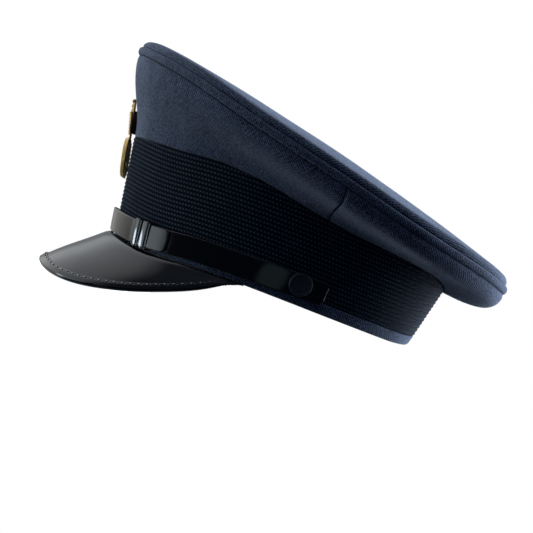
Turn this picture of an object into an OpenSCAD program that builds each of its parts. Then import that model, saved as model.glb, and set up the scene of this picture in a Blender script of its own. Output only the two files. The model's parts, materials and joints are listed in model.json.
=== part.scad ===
// Military peaked cap, in millimetres. The origin is the centre of the head opening in the plane of
// the band's lower edge. +Z is up, -Y is forward over the peak and +X is the wearer's left.
// Places round the cap are given by an angle: 0 at the front, 90 at the left, 180 at the back.

/* [Head band] */
// half width of the band's outside at its lower edge
band_half_w = 85.5; // [84.5:0.5:86.5]
// half length of the band's outside at its lower edge
band_half_l = 106.3; // [105.5:0.5:107.5]
// outward lean of the band at the sides, as a slope
flare_side = 0.14; // [0.12:0.01:0.16]
// extra lean shared by the front and the back
flare_ends = 0.06; // [0.04:0.01:0.08]
// lean moved from the front to the back
flare_back = 0.035; // [0.02:0.005:0.04]
// thickness of the mohair braid
mohair_t = 1.4; // [1:0.1:1.4]
// thickness of the band's cloth
band_cloth_t = 1.2; // [0.8:0.1:1.2]
// thickness of the band's stiffening board
stiffener_t = 1.1; // [0.8:0.1:1.1]
// distance of the sweatband inside the band's outer face, at the lower edge
sweatband_in = 6.4; // [6.3:0.1:6.6]
// thickness of the sweatband leather
sweatband_t = 1; // [0.6:0.1:1.2]
// height of the sweatband
sweatband_h = 34; // [30:1:36]

/* [Crown] */
// half width of the crown at its rim
crown_half_w = 129; // [126:1:131]
// half length of the crown at its rim
crown_half_l = 144.9; // [143:0.5:146]
// how far the crown's centre lies behind the band's centre
crown_back = 10.5; // [9:0.5:12]
// thickness of the wool cloth
cloth_t = 1.3; // [1:0.1:1.4]
// slope of the crown's top towards the back
top_slope = 0.2246; // [0.21:0.005:0.24]
// height of the crown's top plane above the crown's centre
top_h = 98.9; // [97:0.5:101]
// rise of the dome above that plane
dome = 3.6; // [3:0.2:5]
// radius of the hoop wire
wire_r = 1.2; // [0.9:0.1:1.3]
// angle of the side seams of the crown
side_seam = 104; // [101:1:106]
// how far the side seams lean forward from the band to the rim, in degrees
seam_skew = 6; // [2:0.5:8]

/* [Peak] */
// half angle of the band that the peak runs along
peak_angle = 84; // [82:1:85]
// half width of the peak's outline
peak_half_w = 87.2; // [86.8:0.2:88.4]
// reach of the peak's outline forward of its rear corners
peak_reach = 138.8; // [132:0.2:140]
// place of the peak's rear corners, forward of the cap's centre
peak_corner_y = 10; // [9:1:12]
// width of the rolled binding
binding_w = 6; // [4:0.5:7]

/* [Chin strap] */
// height of the strap
strap_h = 15; // [14:0.5:15]
// thickness of each strap
strap_t = 1.3; // [1:0.1:1.3]
// space between the band and the inner strap
strap_lift = 1.2; // [1.2:0.05:1.3]
// angle of the strap's rounded tips
tip_angle = 53; // [50:1:54]
// angle of the strap's ends behind the buttons
strap_end = 111; // [110:1:112]
// length of each keeper along the strap
keeper_w = 5.4; // [4:0.2:5.6]
// angle of the buttons
button_angle = 101.3; // [101:0.1:103.5]
// height of the buttons' centres
button_z = 12.4; // [10.8:0.1:12.6]
// radius of the buttons
button_r = 7.5; // [6.5:0.25:8]

/* [Badge] */
// radius of the lower plate
badge_r = 14.4; // [13:0.2:15]
// length of the upper plate's middle leaf
leaf_len = 24.5; // [20:0.5:25]

/* [Hidden] */
// clear space between neighbouring layers
gap = 0.3;
// steps round the whole cap, and round half of the peak
n_round = 72;
n_crown = 48;
n_peak = 20;

// heights along half the circumference, from the front to the back, as [angle, height]
seam_heights = [[0, 65], [30, 64.5], [46, 63.8], [57, 65.6], [65, 65.9], [78, 63.6], [84, 61.8],
    [95, 57.1], [103, 54.3], [114, 52.1], [128, 50.5], [148, 47.5], [162, 45], [172, 41.5], [180, 39.9]];
low_heights = [[0, 1.4], [20, -0.5], [30, -2.1], [40, -3.5], [50, -3.2], [60, -1.9], [80, -1.1],
    [98, -1.3], [120, -1.9], [150, -2.6], [166, -1.8], [180, -0.6]];
rim_heights = [[0, 118.6], [20, 115.4], [38, 109.6], [47, 105.4], [55, 101], [67, 92.9], [90, 79.3],
    [114, 65.9], [122, 62.9], [131, 59.8], [142, 57], [162, 53.4], [180, 53]];
strap_heights = [[0, 9.3], [20, 7.5], [34, 6], [46, 6], [56, 7.6], [63, 8.8], [77, 9.9], [90, 10.4],
    [102, 10.8], [120, 10.8]];
edge_heights = [[0, -33], [10, -34.4], [20.7, -37.2], [29, -38.4], [37.4, -38.6], [47.5, -36.4],
    [61.4, -29.8], [78.6, -14.8], [85.2, -4.4], [90, -1], [96, 1]];
// lean of the crown's side from the vertical, where it leaves the band
side_leans = [[0, 6], [40, 12], [70, 30], [100, 52], [130, 72], [160, 90], [180, 96]];

function fold(u) = let (a = ((u % 360) + 360) % 360) a > 180 ? 360 - a : a;
function smooth(u, table) =
    (lookup(fold(u - 6), table) + 2 * lookup(fold(u), table) + lookup(fold(u + 6), table)) / 4;
function mix(a, b, t) = a + (b - a) * t;
function steps(from, to, n) = [for (i = [0:n]) from + (to - from) * i / n];

// the band's outside: a point at an angle, height and distance outward
function band_out(u) = let (n = [band_half_l * sin(u), -band_half_w * cos(u)]) n / norm(n);
function flare(u) = flare_side + flare_ends * pow(cos(u), 2) - flare_back * cos(u);
function wall_pt(u, z, off, lean) = let (n = band_out(u), d = off + lean * z)
    [band_half_w * sin(u) + n[0] * d, -band_half_l * cos(u) + n[1] * d, z];
function band_pt(u, z, off) = wall_pt(u, z, off, flare(u));
function seam_z(u) = smooth(u, seam_heights);
function low_z(u) = smooth(u, low_heights);
function strap_z(u) = smooth(u, strap_heights);
function mohair_low(u) = low_z(u) + 7.4;

// the crown's rim: a point at an angle, distance inward and height above the lower seam groove
function rim_out(u) = let (n = [crown_half_l * sin(u), -crown_half_w * cos(u)]) n / norm(n);
function rim_pt(u, inset, up) = let (n = rim_out(u))
    [crown_half_w * sin(u) - n[0] * inset, crown_back - crown_half_l * cos(u) - n[1] * inset,
        smooth(u, rim_heights) + up];

// the crown's side: a curve from the band seam (v = 0) to the lower groove (v = 1), inset by off
function bez(p, v) = let (w = 1 - v)
    w * w * w * p[0] + 3 * w * w * v * p[1] + 3 * w * v * v * p[2] + v * v * v * p[3];
function bez_d(p, v) = let (w = 1 - v)
    w * w * (p[1] - p[0]) + 2 * w * v * (p[2] - p[1]) + v * v * (p[3] - p[2]);
function side_ctrl(u) = let (s = band_pt(u, seam_z(u) + gap, -0.1), n = rim_pt(u, 1.1, -gap),
    flat = [n[0] - s[0], n[1] - s[1], 0], d = flat / norm(flat), reach = norm(n - s),
    a = lookup(fold(u), side_leans), first = reach * mix(0.36, 0.5, fold(u) / 180),
    last = reach * mix(0.36, 0.4, fold(u) / 180))
    [s, s + first * (d * sin(a) + [0, 0, cos(a)]), n - last * (d * 0.05 + [0, 0, 1]), n];
function side_pt(u, v, off) = let (p = side_ctrl(u), t = bez_d(p, v), h = norm([t[0], t[1]]),
    d = h > 0.01 ? [t[0], t[1], 0] / h : [0, 0, 0], m = norm(t))
    bez(p, v) + off * (-d * t[2] + [0, 0, h]) / m;

// the crown's top: a roll from the upper groove, then a dome
function top_rise(u) = mix(5.2, 7.4, fold(u) / 180);
function roll_pt(u, a, off) =
    rim_pt(u, 1.4 + off * cos(a) + 7 * (1 - cos(a)), 6 + top_rise(u) * sin(a) - off * sin(a));
function plane_z(y) = top_h - top_slope * (y - crown_back);
function top_pt(u, r, off) = let (e = roll_pt(u, 90, off), y = mix(crown_back, e[1], r),
    left = e[2] + off - plane_z(e[1]))
    [e[0] * r, y, plane_z(y) + dome * (1 - r * r) + left * pow(r, 3) - off];

// solids from grids of points: rows[i][j], i along the cap and j up or across it
function flat(rows) = [for (r = rows) for (p = r) p];
module skin(out, in, closed) {
    n = len(out);
    m = len(out[0]);
    k = n * m;
    last = closed ? n - 1 : n - 2;
    walls = [for (i = [0:last]) for (j = [0:m - 2]) let (a = i * m + j, b = ((i + 1) % n) * m + j)
        each [[a, a + 1, b + 1, b], [k + a, k + b, k + b + 1, k + a + 1]]];
    rims = [for (i = [0:last]) let (a = i * m, b = ((i + 1) % n) * m)
        each [[a, b, k + b, k + a], [a + m - 1, k + a + m - 1, k + b + m - 1, b + m - 1]]];
    ends = closed ? [] : [for (j = [0:m - 2]) let (a = j, b = (n - 1) * m + j)
        each [[a, k + a, k + a + 1, a + 1], [b, b + 1, k + b + 1, k + b]]];
    polyhedron(concat(flat(out), flat(in)), concat(walls, rims, ends));
}
// a dome: both sheets close on a middle polygon instead of an inner rim
module cap_skin(out, in) {
    n = len(out);
    m = len(out[0]);
    k = n * m;
    walls = [for (i = [0:n - 1]) for (j = [0:m - 2]) let (a = i * m + j, b = ((i + 1) % n) * m + j)
        each [[a, a + 1, b + 1, b], [k + a, k + b, k + b + 1, k + a + 1]]];
    rims = [for (i = [0:n - 1]) let (a = i * m, b = ((i + 1) % n) * m) [a, b, k + b, k + a]];
    lids = [[for (i = [n - 1:-1:0]) i * m + m - 1], [for (i = [0:n - 1]) k + i * m + m - 1]];
    polyhedron(concat(flat(out), flat(in)), concat(walls, rims, lids));
}
// a bar: each section is a closed loop of points
module sweep(sections, closed) {
    n = len(sections);
    m = len(sections[0]);
    walls = [for (i = [0:closed ? n - 1 : n - 2]) for (j = [0:m - 1])
        let (a = i * m, b = ((i + 1) % n) * m, q = (j + 1) % m) [a + j, a + q, b + q, b + j]];
    caps = closed ? [] : [[for (j = [m - 1:-1:0]) j], [for (j = [0:m - 1]) (n - 1) * m + j]];
    polyhedron(flat(sections), concat(walls, caps));
}
function around(n) = [for (i = [0:n - 1]) 360 * i / n];

// the button's own axis, pointing out of the band
module at_button() {
    n = band_out(button_angle);
    translate(band_pt(button_angle, button_z, 0))
        rotate([0, 90 + atan(flare(button_angle)), atan2(n[1], n[0])]) children();
}
module button_bores(r) {
    at_button() cylinder(r = r, h = 24, center = true, $fn = 48);
    mirror([1, 0, 0]) at_button() cylinder(r = r, h = 24, center = true, $fn = 48);
}
// the badge's own plane: its origin is on the band's front at the lower plate's centre
badge_z = 51.2;
badge_lean = 12.2;
module at_badge() {
    translate([0, -106.3 - 0.165 * badge_z, badge_z]) rotate([90 + badge_lean, 0, 0]) children();
}
lug_x = 7;
lug_y = -7;
module lug_bores(r) {
    at_badge() for (x = [-lug_x, lug_x])
        translate([x, lug_y, -10]) cylinder(r = r, h = 13, $fn = 32);
}

// crown cloth ------------------------------------------------------------------------------
module crown_top() {
    function rows(u, off) = concat([for (a = [0, 22, 45, 68]) roll_pt(u, a, off)],
        [for (r = [1, 0.85, 0.65, 0.42, 0.2]) top_pt(u, r, off)]);
    color([0.2, 0.23, 0.31])
        cap_skin([for (u = around(n_crown)) rows(u, 0)], [for (u = around(n_crown)) rows(u, cloth_t)]);
}
// the panels' edges lean forward at the sides
function skewed(u, v) = u - seam_skew * v * pow(sin(u), 3);
module crown_quarter(from, to, n) {
    levels = steps(0, 1, 7);
    color([0.2, 0.23, 0.31])
        skin([for (u = steps(from, to, n)) [for (v = levels) side_pt(skewed(u, v), v, 0)]],
            [for (u = steps(from, to, n)) [for (v = levels) side_pt(skewed(u, v), v, cloth_t)]], false);
}
seam_gap = 0.12;
module crown_front_left() { crown_quarter(seam_gap, side_seam - seam_gap, 14); }
module crown_rear_left() { crown_quarter(side_seam + seam_gap, 180 - seam_gap, 11); }
module crown_front_right() { crown_quarter(seam_gap - side_seam, -seam_gap, 14); }
module crown_rear_right() { crown_quarter(seam_gap - 180, -side_seam - seam_gap, 11); }
module crown_welt() {
    profile = [[2.6, gap], [1.2, gap], [0.2, 1.2], [-0.3, 2.8], [-0.1, 4.3], [0.9, 5.5], [2.6, 5.7]];
    color([0.18, 0.21, 0.29])
        sweep([for (u = around(n_crown)) [for (q = profile) rim_pt(u, q[0], q[1])]], true);
}
wire_in = 5;
wire_up = 2.6;
module crown_wire() {
    color([0.55, 0.56, 0.58]) sweep([for (u = steps(180.5, 539.5, n_crown)) [for (a = [0:60:300])
        rim_pt(u, wire_in + wire_r * cos(a), wire_up + wire_r * sin(a))]], false);
}
module crown_ferrule() {
    length = 12;
    color([0.7, 0.6, 0.35]) translate(rim_pt(180, wire_in + 0.1, wire_up)) rotate([0, 90, 0])
        difference() {
            cylinder(r = wire_r + 0.7, h = length, center = true, $fn = 40);
            cylinder(r = wire_r + 0.3, h = 2 * length, center = true, $fn = 40);
        }
}
module front_stay() {
    levels = steps(0.08, 0.93, 6);
    color([0.82, 0.82, 0.78])
        skin([for (u = steps(-11, 11, 6)) [for (v = levels) side_pt(u, v, 2)]],
            [for (u = steps(-11, 11, 6)) [for (v = levels) side_pt(u, v, 3.3)]], false);
}
module lining_side() {
    function rows(u, t) = concat(
        [for (d = [11, -4]) band_pt(u, seam_z(u) - d, -4.75 - t)],
        [for (v = [0.22, 0.45, 0.7, 0.9]) side_pt(u, v, 6.6 + t)]);
    color([0.12, 0.13, 0.15]) skin([for (u = around(n_crown)) rows(u, 0)],
        [for (u = around(n_crown)) rows(u, 0.5)], true);
}
module lining_tip() {
    function rows(u, off) = concat([roll_pt(u, 60, off)],
        [for (r = [0.95, 0.75, 0.45, 0.2]) top_pt(u, r, off)]);
    color([0.12, 0.13, 0.15]) cap_skin([for (u = around(n_crown)) rows(u, 7)],
        [for (u = around(n_crown)) rows(u, 7.5)]);
}
module sweat_shield() {
    function reach(u) = 0.62 / pow(pow(abs(sin(u)), 1.3) + pow(abs(cos(u)), 1.3), 1 / 1.3);
    function rows(u, off) = [for (r = [1, 0.6, 0.3]) top_pt(u, r * reach(u), off)];
    color([0.8, 0.85, 0.88, 0.5]) cap_skin([for (u = around(32)) rows(u, 8.2)],
        [for (u = around(32)) rows(u, 8.7)]);
}

// head band --------------------------------------------------------------------------------
module mohair_band() {
    function rows(u, off) = [for (t = [0, 0.5, 1]) band_pt(u, mix(mohair_low(u), seam_z(u) - 0.1, t), off)];
    stations = steps(180.08, 539.92, n_round);
    color([0.07, 0.08, 0.1]) difference() {
        skin([for (u = stations) rows(u, 0)], [for (u = stations) rows(u, -mohair_t)], false);
        button_bores(2.1);
        lug_bores(1.2);
    }
}
cloth_out = -mohair_t - gap;
cloth_in = cloth_out - band_cloth_t;
module band_cloth() {
    function loop(u) = let (lo = low_z(u), mo = mohair_low(u) - gap, hi = seam_z(u) - 0.8)
        [for (q = [[cloth_in, hi], [cloth_in, lo + 1.4], [cloth_in + 0.6, lo + 0.3],
            [cloth_out, lo], [-0.6, lo + 0.5], [0.05, lo + 2], [0.05, mo - 1.6], [-0.4, mo],
            [cloth_out, mo], [cloth_out, hi]]) band_pt(u, q[1], q[0])];
    color([0.2, 0.23, 0.31]) difference() {
        sweep([for (u = around(n_round)) loop(u)], true);
        button_bores(2.1);
        lug_bores(1.2);
    }
}
board_out = cloth_in - gap;
module band_stiffener() {
    function rows(u, off) = [for (z = [low_z(u) + 1.6, seam_z(u) - 1.5]) band_pt(u, z, off)];
    color([0.75, 0.72, 0.62]) difference() {
        skin([for (u = around(n_round)) rows(u, board_out)],
            [for (u = around(n_round)) rows(u, board_out - stiffener_t)], true);
        button_bores(1.88);
        lug_bores(1.2);
    }
}
sweat_lean = 0.02;
module sweatband() {
    stations = steps(180.2, 539.8, n_round);
    function rows(u, off) = [for (z = [low_z(u) + 0.4, sweatband_h / 2, sweatband_h])
        wall_pt(u, z, -off, sweat_lean)];
    color([0.35, 0.22, 0.13]) skin([for (u = stations) rows(u, sweatband_in)],
        [for (u = stations) rows(u, sweatband_in + sweatband_t)], false);
}
module sweatband_bow() {
    bow_y = band_half_l - sweatband_in - sweatband_t - 0.95;
    color([0.06, 0.06, 0.07]) translate([0, bow_y, 9]) rotate([90, 0, 0]) {
        translate([0, 0, -0.5]) cylinder(r = 1.8, h = 1.2, $fn = 24);
        for (s = [-1, 1]) linear_extrude(height = 0.5, center = true)
            polygon([[s * 1.2, -0.9], [s * 7, -3.4], [s * 7.6, 0], [s * 7, 3.4], [s * 1.2, 0.9]]);
    }
}

// peak -------------------------------------------------------------------------------------
// a point of the peak's top at an angle; q runs 0 (inside the band) to 1 (bend) to 2 (edge)
function ledge(u) = 0.8 + 3.4 * pow(cos(u * 90 / (peak_angle + 4)), 0.8);
function edge_z(w) = (lookup(abs(w - 6), edge_heights) + 2 * lookup(w, edge_heights)
    + lookup(w + 6, edge_heights)) / 4;
function edge_pt(u) = let (w = u * 90 / peak_angle)
    [peak_half_w * sin(w), -peak_corner_y - peak_reach * cos(w), edge_z(abs(w))];
function bend_pt(u) = band_pt(u, low_z(u) - gap, ledge(u));
function under_pt(u) = band_pt(u, low_z(u) - gap, -5);
function peak_at(u, q) = let (a = under_pt(u), b = bend_pt(u), e = edge_pt(u))
    q < 0.7 ? mix(a, b, q)
    : q > 1.12 ? mix(b, e, q - 1) + [0, 0, 1.1 * sin(180 * (q - 1.12) / 0.88)]
    : let (t = (q - 0.7) / 0.42, p = mix(a, b, 0.7), r = mix(b, e, 0.12))
        (1 - t) * (1 - t) * p + 2 * t * (1 - t) * b + t * t * r;
function peak_down(u, q) = let (d = 0.02,
    n = cross(peak_at(u + 0.5, q) - peak_at(u - 0.5, q), peak_at(u, q + d) - peak_at(u, q - d)))
    n / norm(n);
function slope_len(u) = norm(edge_pt(u) - bend_pt(u));
function peak_pt(u, q, depth) = peak_at(u, q) + depth * peak_down(u, min(q, 1.97));
// the same point counted as a distance back from the edge
function edge_in(u, back, depth) = peak_pt(u, 2 - back / slope_len(u), depth);

// short is how far the layer stops before the peak's corners, in degrees
module peak_layer(top, bottom, rows, short) {
    stations = [for (u = steps(-peak_angle + 2, peak_angle - 2, 2 * n_peak))
        if (abs(u) < peak_angle - short) u];
    function row(u, depth) = [for (q = rows) min(q, 2 - 1.1 / slope_len(u))];
    skin([for (u = stations) [for (q = row(u, 0)) peak_pt(u, q, top)]],
        [for (u = stations) [for (q = row(u, 0)) peak_pt(u, q, bottom)]], false);
}
fine_rows = [0.05, 0.7, 0.84, 0.98, 1.12, 1.3, 1.65, 2];
module peak_top() { color([0.02, 0.02, 0.025]) peak_layer(0, 0.8, fine_rows, 1); }
module peak_board() { color([0.5, 0.42, 0.3]) peak_layer(1, 2.2, fine_rows, 5); }
module peak_lining() { color([0.05, 0.05, 0.055]) peak_layer(2.4, 3.1, fine_rows, 5); }
module peak_binding() {
    stations = steps(-peak_angle + 2, peak_angle - 2, 2 * n_peak);
    function leg(u) = min(binding_w, 0.7 * slope_len(u));
    function loop(u) = let (w = leg(u), c = min(1.4, w / 3)) [for (q = [[w, -0.75], [c, -0.75],
        [0.2, -0.2], [-0.3, 1.5], [0.2, 3.3], [c, 3.9], [w, 3.9], [w, 3.3], [c, 3.3], [0.75, 2.9],
        [0.7, 1.5], [0.75, 0.1], [c, -0.15], [w, -0.15]]) edge_in(u, q[0], q[1])];
    color([0.02, 0.02, 0.025]) sweep([for (u = stations) loop(u)], false);
}

// chin strap -------------------------------------------------------------------------------
under_off = strap_lift;
over_off = under_off + strap_t + 0.25;
half_h = strap_h / 2;
// the strap's half height near a rounded tip and near a convex end
function near_tip(d) = d > 3.5 ? half_h : half_h - 3.5 + sqrt(max(0, 12.25 - pow(3.5 - d, 2)));
function near_end(d) = half_h * sqrt(max(0, 1 - pow(max(0, 1 - d / 4), 2.4)));
deg_len = 1.72;
tip_stations = [0.15, 0.6, 1.4, 2.3, 3.5];
// distance of the outer strap from the band, stepping in where the inner strap has ended
function over_lift(u) = over_off - (strap_t + 0.25) * max(0, min(1, (-u - tip_angle - 5) / 14));
module strap(side, lift) {
    back = [for (d = [0.4, 1, 2, 3, 4]) [strap_end - d / deg_len, near_end(d)]];
    tip = [for (d = tip_stations) [-tip_angle + d / deg_len, near_tip(d)]];
    run = [for (u = steps(-tip_angle + 4, strap_end - 4, 36)) [u, half_h]];
    stations = concat(tip, run, [for (i = [4:-1:0]) back[i]]);
    ordered = side > 0 ? stations : [for (i = [len(stations) - 1:-1:0]) [-stations[i][0], stations[i][1]]];
    function rows(s, extra) = let (off = lift == 0 ? over_lift(s[0]) : under_off)
        [for (t = [-1, 1]) band_pt(s[0], strap_z(s[0]) + t * s[1], off + extra)];
    difference() {
        skin([for (s = ordered) rows(s, strap_t)], [for (s = ordered) rows(s, 0)], false);
        button_bores(2.5);
    }
}
module strap_inner() { color([0.02, 0.02, 0.025]) strap(1, 1); }
module strap_outer() { color([0.02, 0.02, 0.025]) strap(-1, 0); }
// a keeper: a flat loop round both straps
module keeper(middle) {
    half = keeper_w / deg_len / 2;
    hi = over_off + strap_t;
    function loop(u, t, side) = let (h = half_h + 0.35 + t, o = hi + 0.25 + t * 0.9, i = 0.95 - t * 0.6)
        [for (q = [[o, 0.4 - h], [o, h - 0.4], [o - 0.35, h], [i + 0.2, h], [i, h - 0.25], [i, 0.25 - h],
            [i + 0.2, -h], [o - 0.35, -h]]) band_pt(u, strap_z(u) + q[1], q[0])];
    stations = steps(middle - half, middle + half, 2);
    out = [for (u = stations) loop(u, 0.95)];
    in = [for (u = stations) loop(u, 0)];
    color([0.03, 0.03, 0.035]) skin([for (j = [7:-1:0]) [for (i = [0:2]) out[i][j]]],
        [for (j = [7:-1:0]) [for (i = [0:2]) in[i][j]]], true);
}
front_keeper = 37.2;
rear_keeper = 41.6;
module keeper_left_front() { keeper(front_keeper); }
module keeper_left_rear() { keeper(rear_keeper); }
module keeper_right_front() { mirror([1, 0, 0]) keeper(front_keeper); }
module keeper_right_rear() { mirror([1, 0, 0]) keeper(rear_keeper); }

// side buttons: heights are counted out from the band's outer face ---------------------------
disc_back = strap_lift + strap_t + 0.35;
shank_r = 1.8;
ring_h = -6;
shank_tail = 1.4;
module button() {
    r = button_r;
    color([0.04, 0.04, 0.045]) {
        translate([0, 0, disc_back]) rotate_extrude($fn = 96) polygon([[0, 0], [r - 0.6, 0], [r, 0.5],
            [r, 1.9], [r - 0.6, 2.6], [r - 1.6, 2.5], [r - 2.2, 2.1], [r - 3.6, 2], [r - 4, 1.75],
            [0.9, 1.7], [0.5, 1.95], [0, 2]]);
        difference() {
            translate([0, 0, ring_h - shank_tail])
                cylinder(r = shank_r, h = disc_back - ring_h + shank_tail, $fn = 48);
            translate([0, 0, ring_h]) rotate([90, 0, 0]) cylinder(r = 0.95, h = 8, center = true, $fn = 24);
        }
    }
}
module washer() {
    color([0.7, 0.6, 0.35]) translate([0, 0, ring_h + 0.85]) difference() {
        cylinder(r = 5.2, h = 0.65, $fn = 64);
        translate([0, 0, -1]) cylinder(r = shank_r + 0.05, h = 3, $fn = 48);
    }
}
module split_ring() {
    color([0.75, 0.75, 0.77]) translate([3.85, 0, ring_h]) rotate_extrude($fn = 64)
        translate([4, 0]) circle(r = 0.45, $fn = 24);
}
module button_left() { at_button() button(); }
module button_right() { mirror([1, 0, 0]) at_button() button(); }
module washer_left() { at_button() washer(); }
module washer_right() { mirror([1, 0, 0]) at_button() washer(); }
module ring_left() { at_button() split_ring(); }
module ring_right() { mirror([1, 0, 0]) at_button() split_ring(); }

// badge: heights are counted out from the badge's own plane ----------------------------------
plate_back = 3.1;
plate_t = 1.2;
pin_z = -7.8;
module badge_lower() {
    leaf_ring = badge_r - 2.6;
    color([0.75, 0.6, 0.27]) at_badge() {
        translate([0, 0, plate_back]) cylinder(r = badge_r - 1, h = plate_t, $fn = 96);
        translate([0, 0, plate_back + 0.9]) rotate_extrude($fn = 96)
            translate([badge_r - 1, 0]) circle(r = 0.95, $fn = 24);
        translate([0, 0, plate_back + plate_t - 0.1]) rotate_extrude($fn = 96)
            polygon([[0, 0], [6.6, 0], [6.2, 0.7], [4.5, 1.2], [2, 1.5], [0, 1.6]]);
        for (i = [1:8], s = [-1, 1]) rotate([0, 0, s * (14 + 18.5 * i)]) translate([0, leaf_ring - 1.6,
            plate_back + plate_t - 0.2]) rotate([0, 0, s * 32]) intersection() {
            translate([1.3, 0, 0]) cylinder(r = 2.6, h = 0.8, $fn = 32);
            translate([-1.3, 0, 0]) cylinder(r = 2.6, h = 0.8, $fn = 32);
        }
        difference() {
            for (x = [-lug_x, lug_x]) translate([x, lug_y, pin_z - 1.1])
                cylinder(r = 1, h = plate_back + 1.3 - pin_z, $fn = 32);
            translate([0, lug_y, pin_z]) rotate([0, 90, 0])
                cylinder(r = 0.62, h = 30, center = true, $fn = 24);
        }
    }
}
module badge_pin() {
    color([0.6, 0.6, 0.62]) at_badge() translate([-2, lug_y, pin_z]) {
        rotate([0, 90, 0]) cylinder(r = 0.55, h = 26, center = true, $fn = 24);
        translate([-14.2, 0, 0]) rotate_extrude($fn = 48) translate([1.6, 0]) circle(r = 0.5, $fn = 20);
    }
}
fan_y = badge_r + 1.3;
module badge_upper() {
    color([0.75, 0.6, 0.27]) at_badge() translate([0, fan_y, 2]) {
        for (i = [-1:1]) rotate([0, 0, -i * 38]) intersection() {
            long = i == 0 ? leaf_len : 0.76 * leaf_len;
            round_r = (long * long / 4 + 4.2 * 4.2) / (2 * 4.2);
            translate([round_r - 4.2, long / 2, 0]) cylinder(r = round_r, h = 1.2, $fn = 96);
            translate([4.2 - round_r, long / 2, 0]) cylinder(r = round_r, h = 1.2, $fn = 96);
        }
        translate([-0.5, 1, 0.4]) cube([1, leaf_len - 4, 1.2]);
        for (i = [0:2]) translate([0, leaf_len - 1.4 - 2.7 * i, 1]) sphere(r = 1.2, $fn = 24);
        cylinder(r = 3.4, h = 1, $fn = 48);
    }
}
module badge_backing() {
    color([0.2, 0.03, 0.06]) at_badge() translate([0, fan_y, 0.9]) linear_extrude(height = 0.9)
        polygon([for (a = [0:15:180]) [10 * cos(a), 1 + 15.5 * sin(a)]]);
}
module badge_bracket() {
    color([0.05, 0.05, 0.05]) at_badge() translate([-4, badge_r - 3.8, 1.7]) cube([8, 1.6, 1.35]);
}
module badge_strip() {
    color([0.72, 0.58, 0.28]) at_badge() translate([-5, -3.5, 1.2]) cube([10, 14, 1.2]);
}

crown_top();
crown_front_left();
crown_front_right();
crown_rear_left();
crown_rear_right();
crown_welt();
crown_wire();
crown_ferrule();
front_stay();
lining_side();
lining_tip();
sweat_shield();
mohair_band();
band_cloth();
band_stiffener();
sweatband();
sweatband_bow();
peak_top();
peak_board();
peak_lining();
peak_binding();
strap_inner();
strap_outer();
keeper_left_front();
keeper_left_rear();
keeper_right_front();
keeper_right_rear();
button_left();
button_right();
washer_left();
washer_right();
ring_left();
ring_right();
badge_lower();
badge_upper();
badge_backing();
badge_bracket();
badge_strip();
badge_pin();
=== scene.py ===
"""The looks of a military peaked cap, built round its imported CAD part. Shapes are in millimetres."""
import json
import math

import bmesh
import bpy
import numpy as np
from mathutils import Matrix


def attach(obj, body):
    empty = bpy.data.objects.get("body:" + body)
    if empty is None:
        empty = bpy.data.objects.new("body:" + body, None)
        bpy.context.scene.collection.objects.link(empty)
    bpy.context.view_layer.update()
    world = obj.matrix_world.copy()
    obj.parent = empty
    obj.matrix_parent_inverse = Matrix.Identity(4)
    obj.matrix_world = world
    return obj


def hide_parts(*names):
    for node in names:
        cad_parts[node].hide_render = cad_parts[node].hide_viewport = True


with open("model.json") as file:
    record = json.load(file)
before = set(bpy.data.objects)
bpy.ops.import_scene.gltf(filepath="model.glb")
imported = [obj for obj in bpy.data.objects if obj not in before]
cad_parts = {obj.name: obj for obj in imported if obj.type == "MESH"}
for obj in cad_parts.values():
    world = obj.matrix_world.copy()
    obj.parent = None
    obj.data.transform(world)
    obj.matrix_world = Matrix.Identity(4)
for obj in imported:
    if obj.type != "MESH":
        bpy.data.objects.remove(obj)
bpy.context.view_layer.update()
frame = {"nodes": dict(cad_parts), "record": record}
MM = 0.001
scene = bpy.context.scene

# ---------------------------------------------------------------- the cap's measures, as in the CAD
BAND_W, BAND_L = 85.5, 106.3
FLARE_SIDE, FLARE_ENDS, FLARE_BACK = 0.14, 0.06, 0.035
CROWN_W, CROWN_L, CROWN_BACK = 129.0, 144.9, 10.5
CLOTH_T, MOHAIR_T = 1.3, 1.4
SIDE_SEAM = 104.0
TOP_H, TOP_SLOPE, DOME = 98.9, 0.2246, 3.6
PEAK_ANGLE, PEAK_W, PEAK_REACH, PEAK_CORNER = 84.0, 87.2, 138.8, 10.0
BINDING_W = 6.0
STRAP_H, STRAP_T, UNDER_OFF = 15.0, 1.3, 1.2
OVER_OFF = UNDER_OFF + STRAP_T + 0.25
TIP_ANGLE, STRAP_END, DEG_LEN = 53.0, 111.0, 1.72
BUTTON_ANGLE, BUTTON_Z, BUTTON_R = 101.3, 12.4, 7.5
DISC_BACK, RING_H, SHANK_R = 2.85, -6.0, 1.8
BADGE_Z, BADGE_LEAN, BADGE_R, LEAF_LEN = 51.2, 12.2, 14.4, 24.5
SWEAT_IN, SWEAT_T, SWEAT_H, SWEAT_LEAN = 6.4, 1.0, 34.0, 0.02

# ---------------------------------------------------------------- measures that only the looks have
RIB, BEAD = 2.7, 2.4  # the mohair braid's rows and the beads along them
BINDING_TOP, BINDING_LOW = -0.78, 3.92  # depths of the binding's upper and lower faces below the peak's top
SWEAT_SEAM = 3.2  # the sweatband's seam above the cap's lower edge


def mix(a, b, t):
    return a + (b - a) * t


def fold(u):
    a = np.mod(u, 360.0)
    return np.where(a > 180, 360 - a, a)


SPREAD = 10.5  # degrees to each side over which a curve is smoothed


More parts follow.
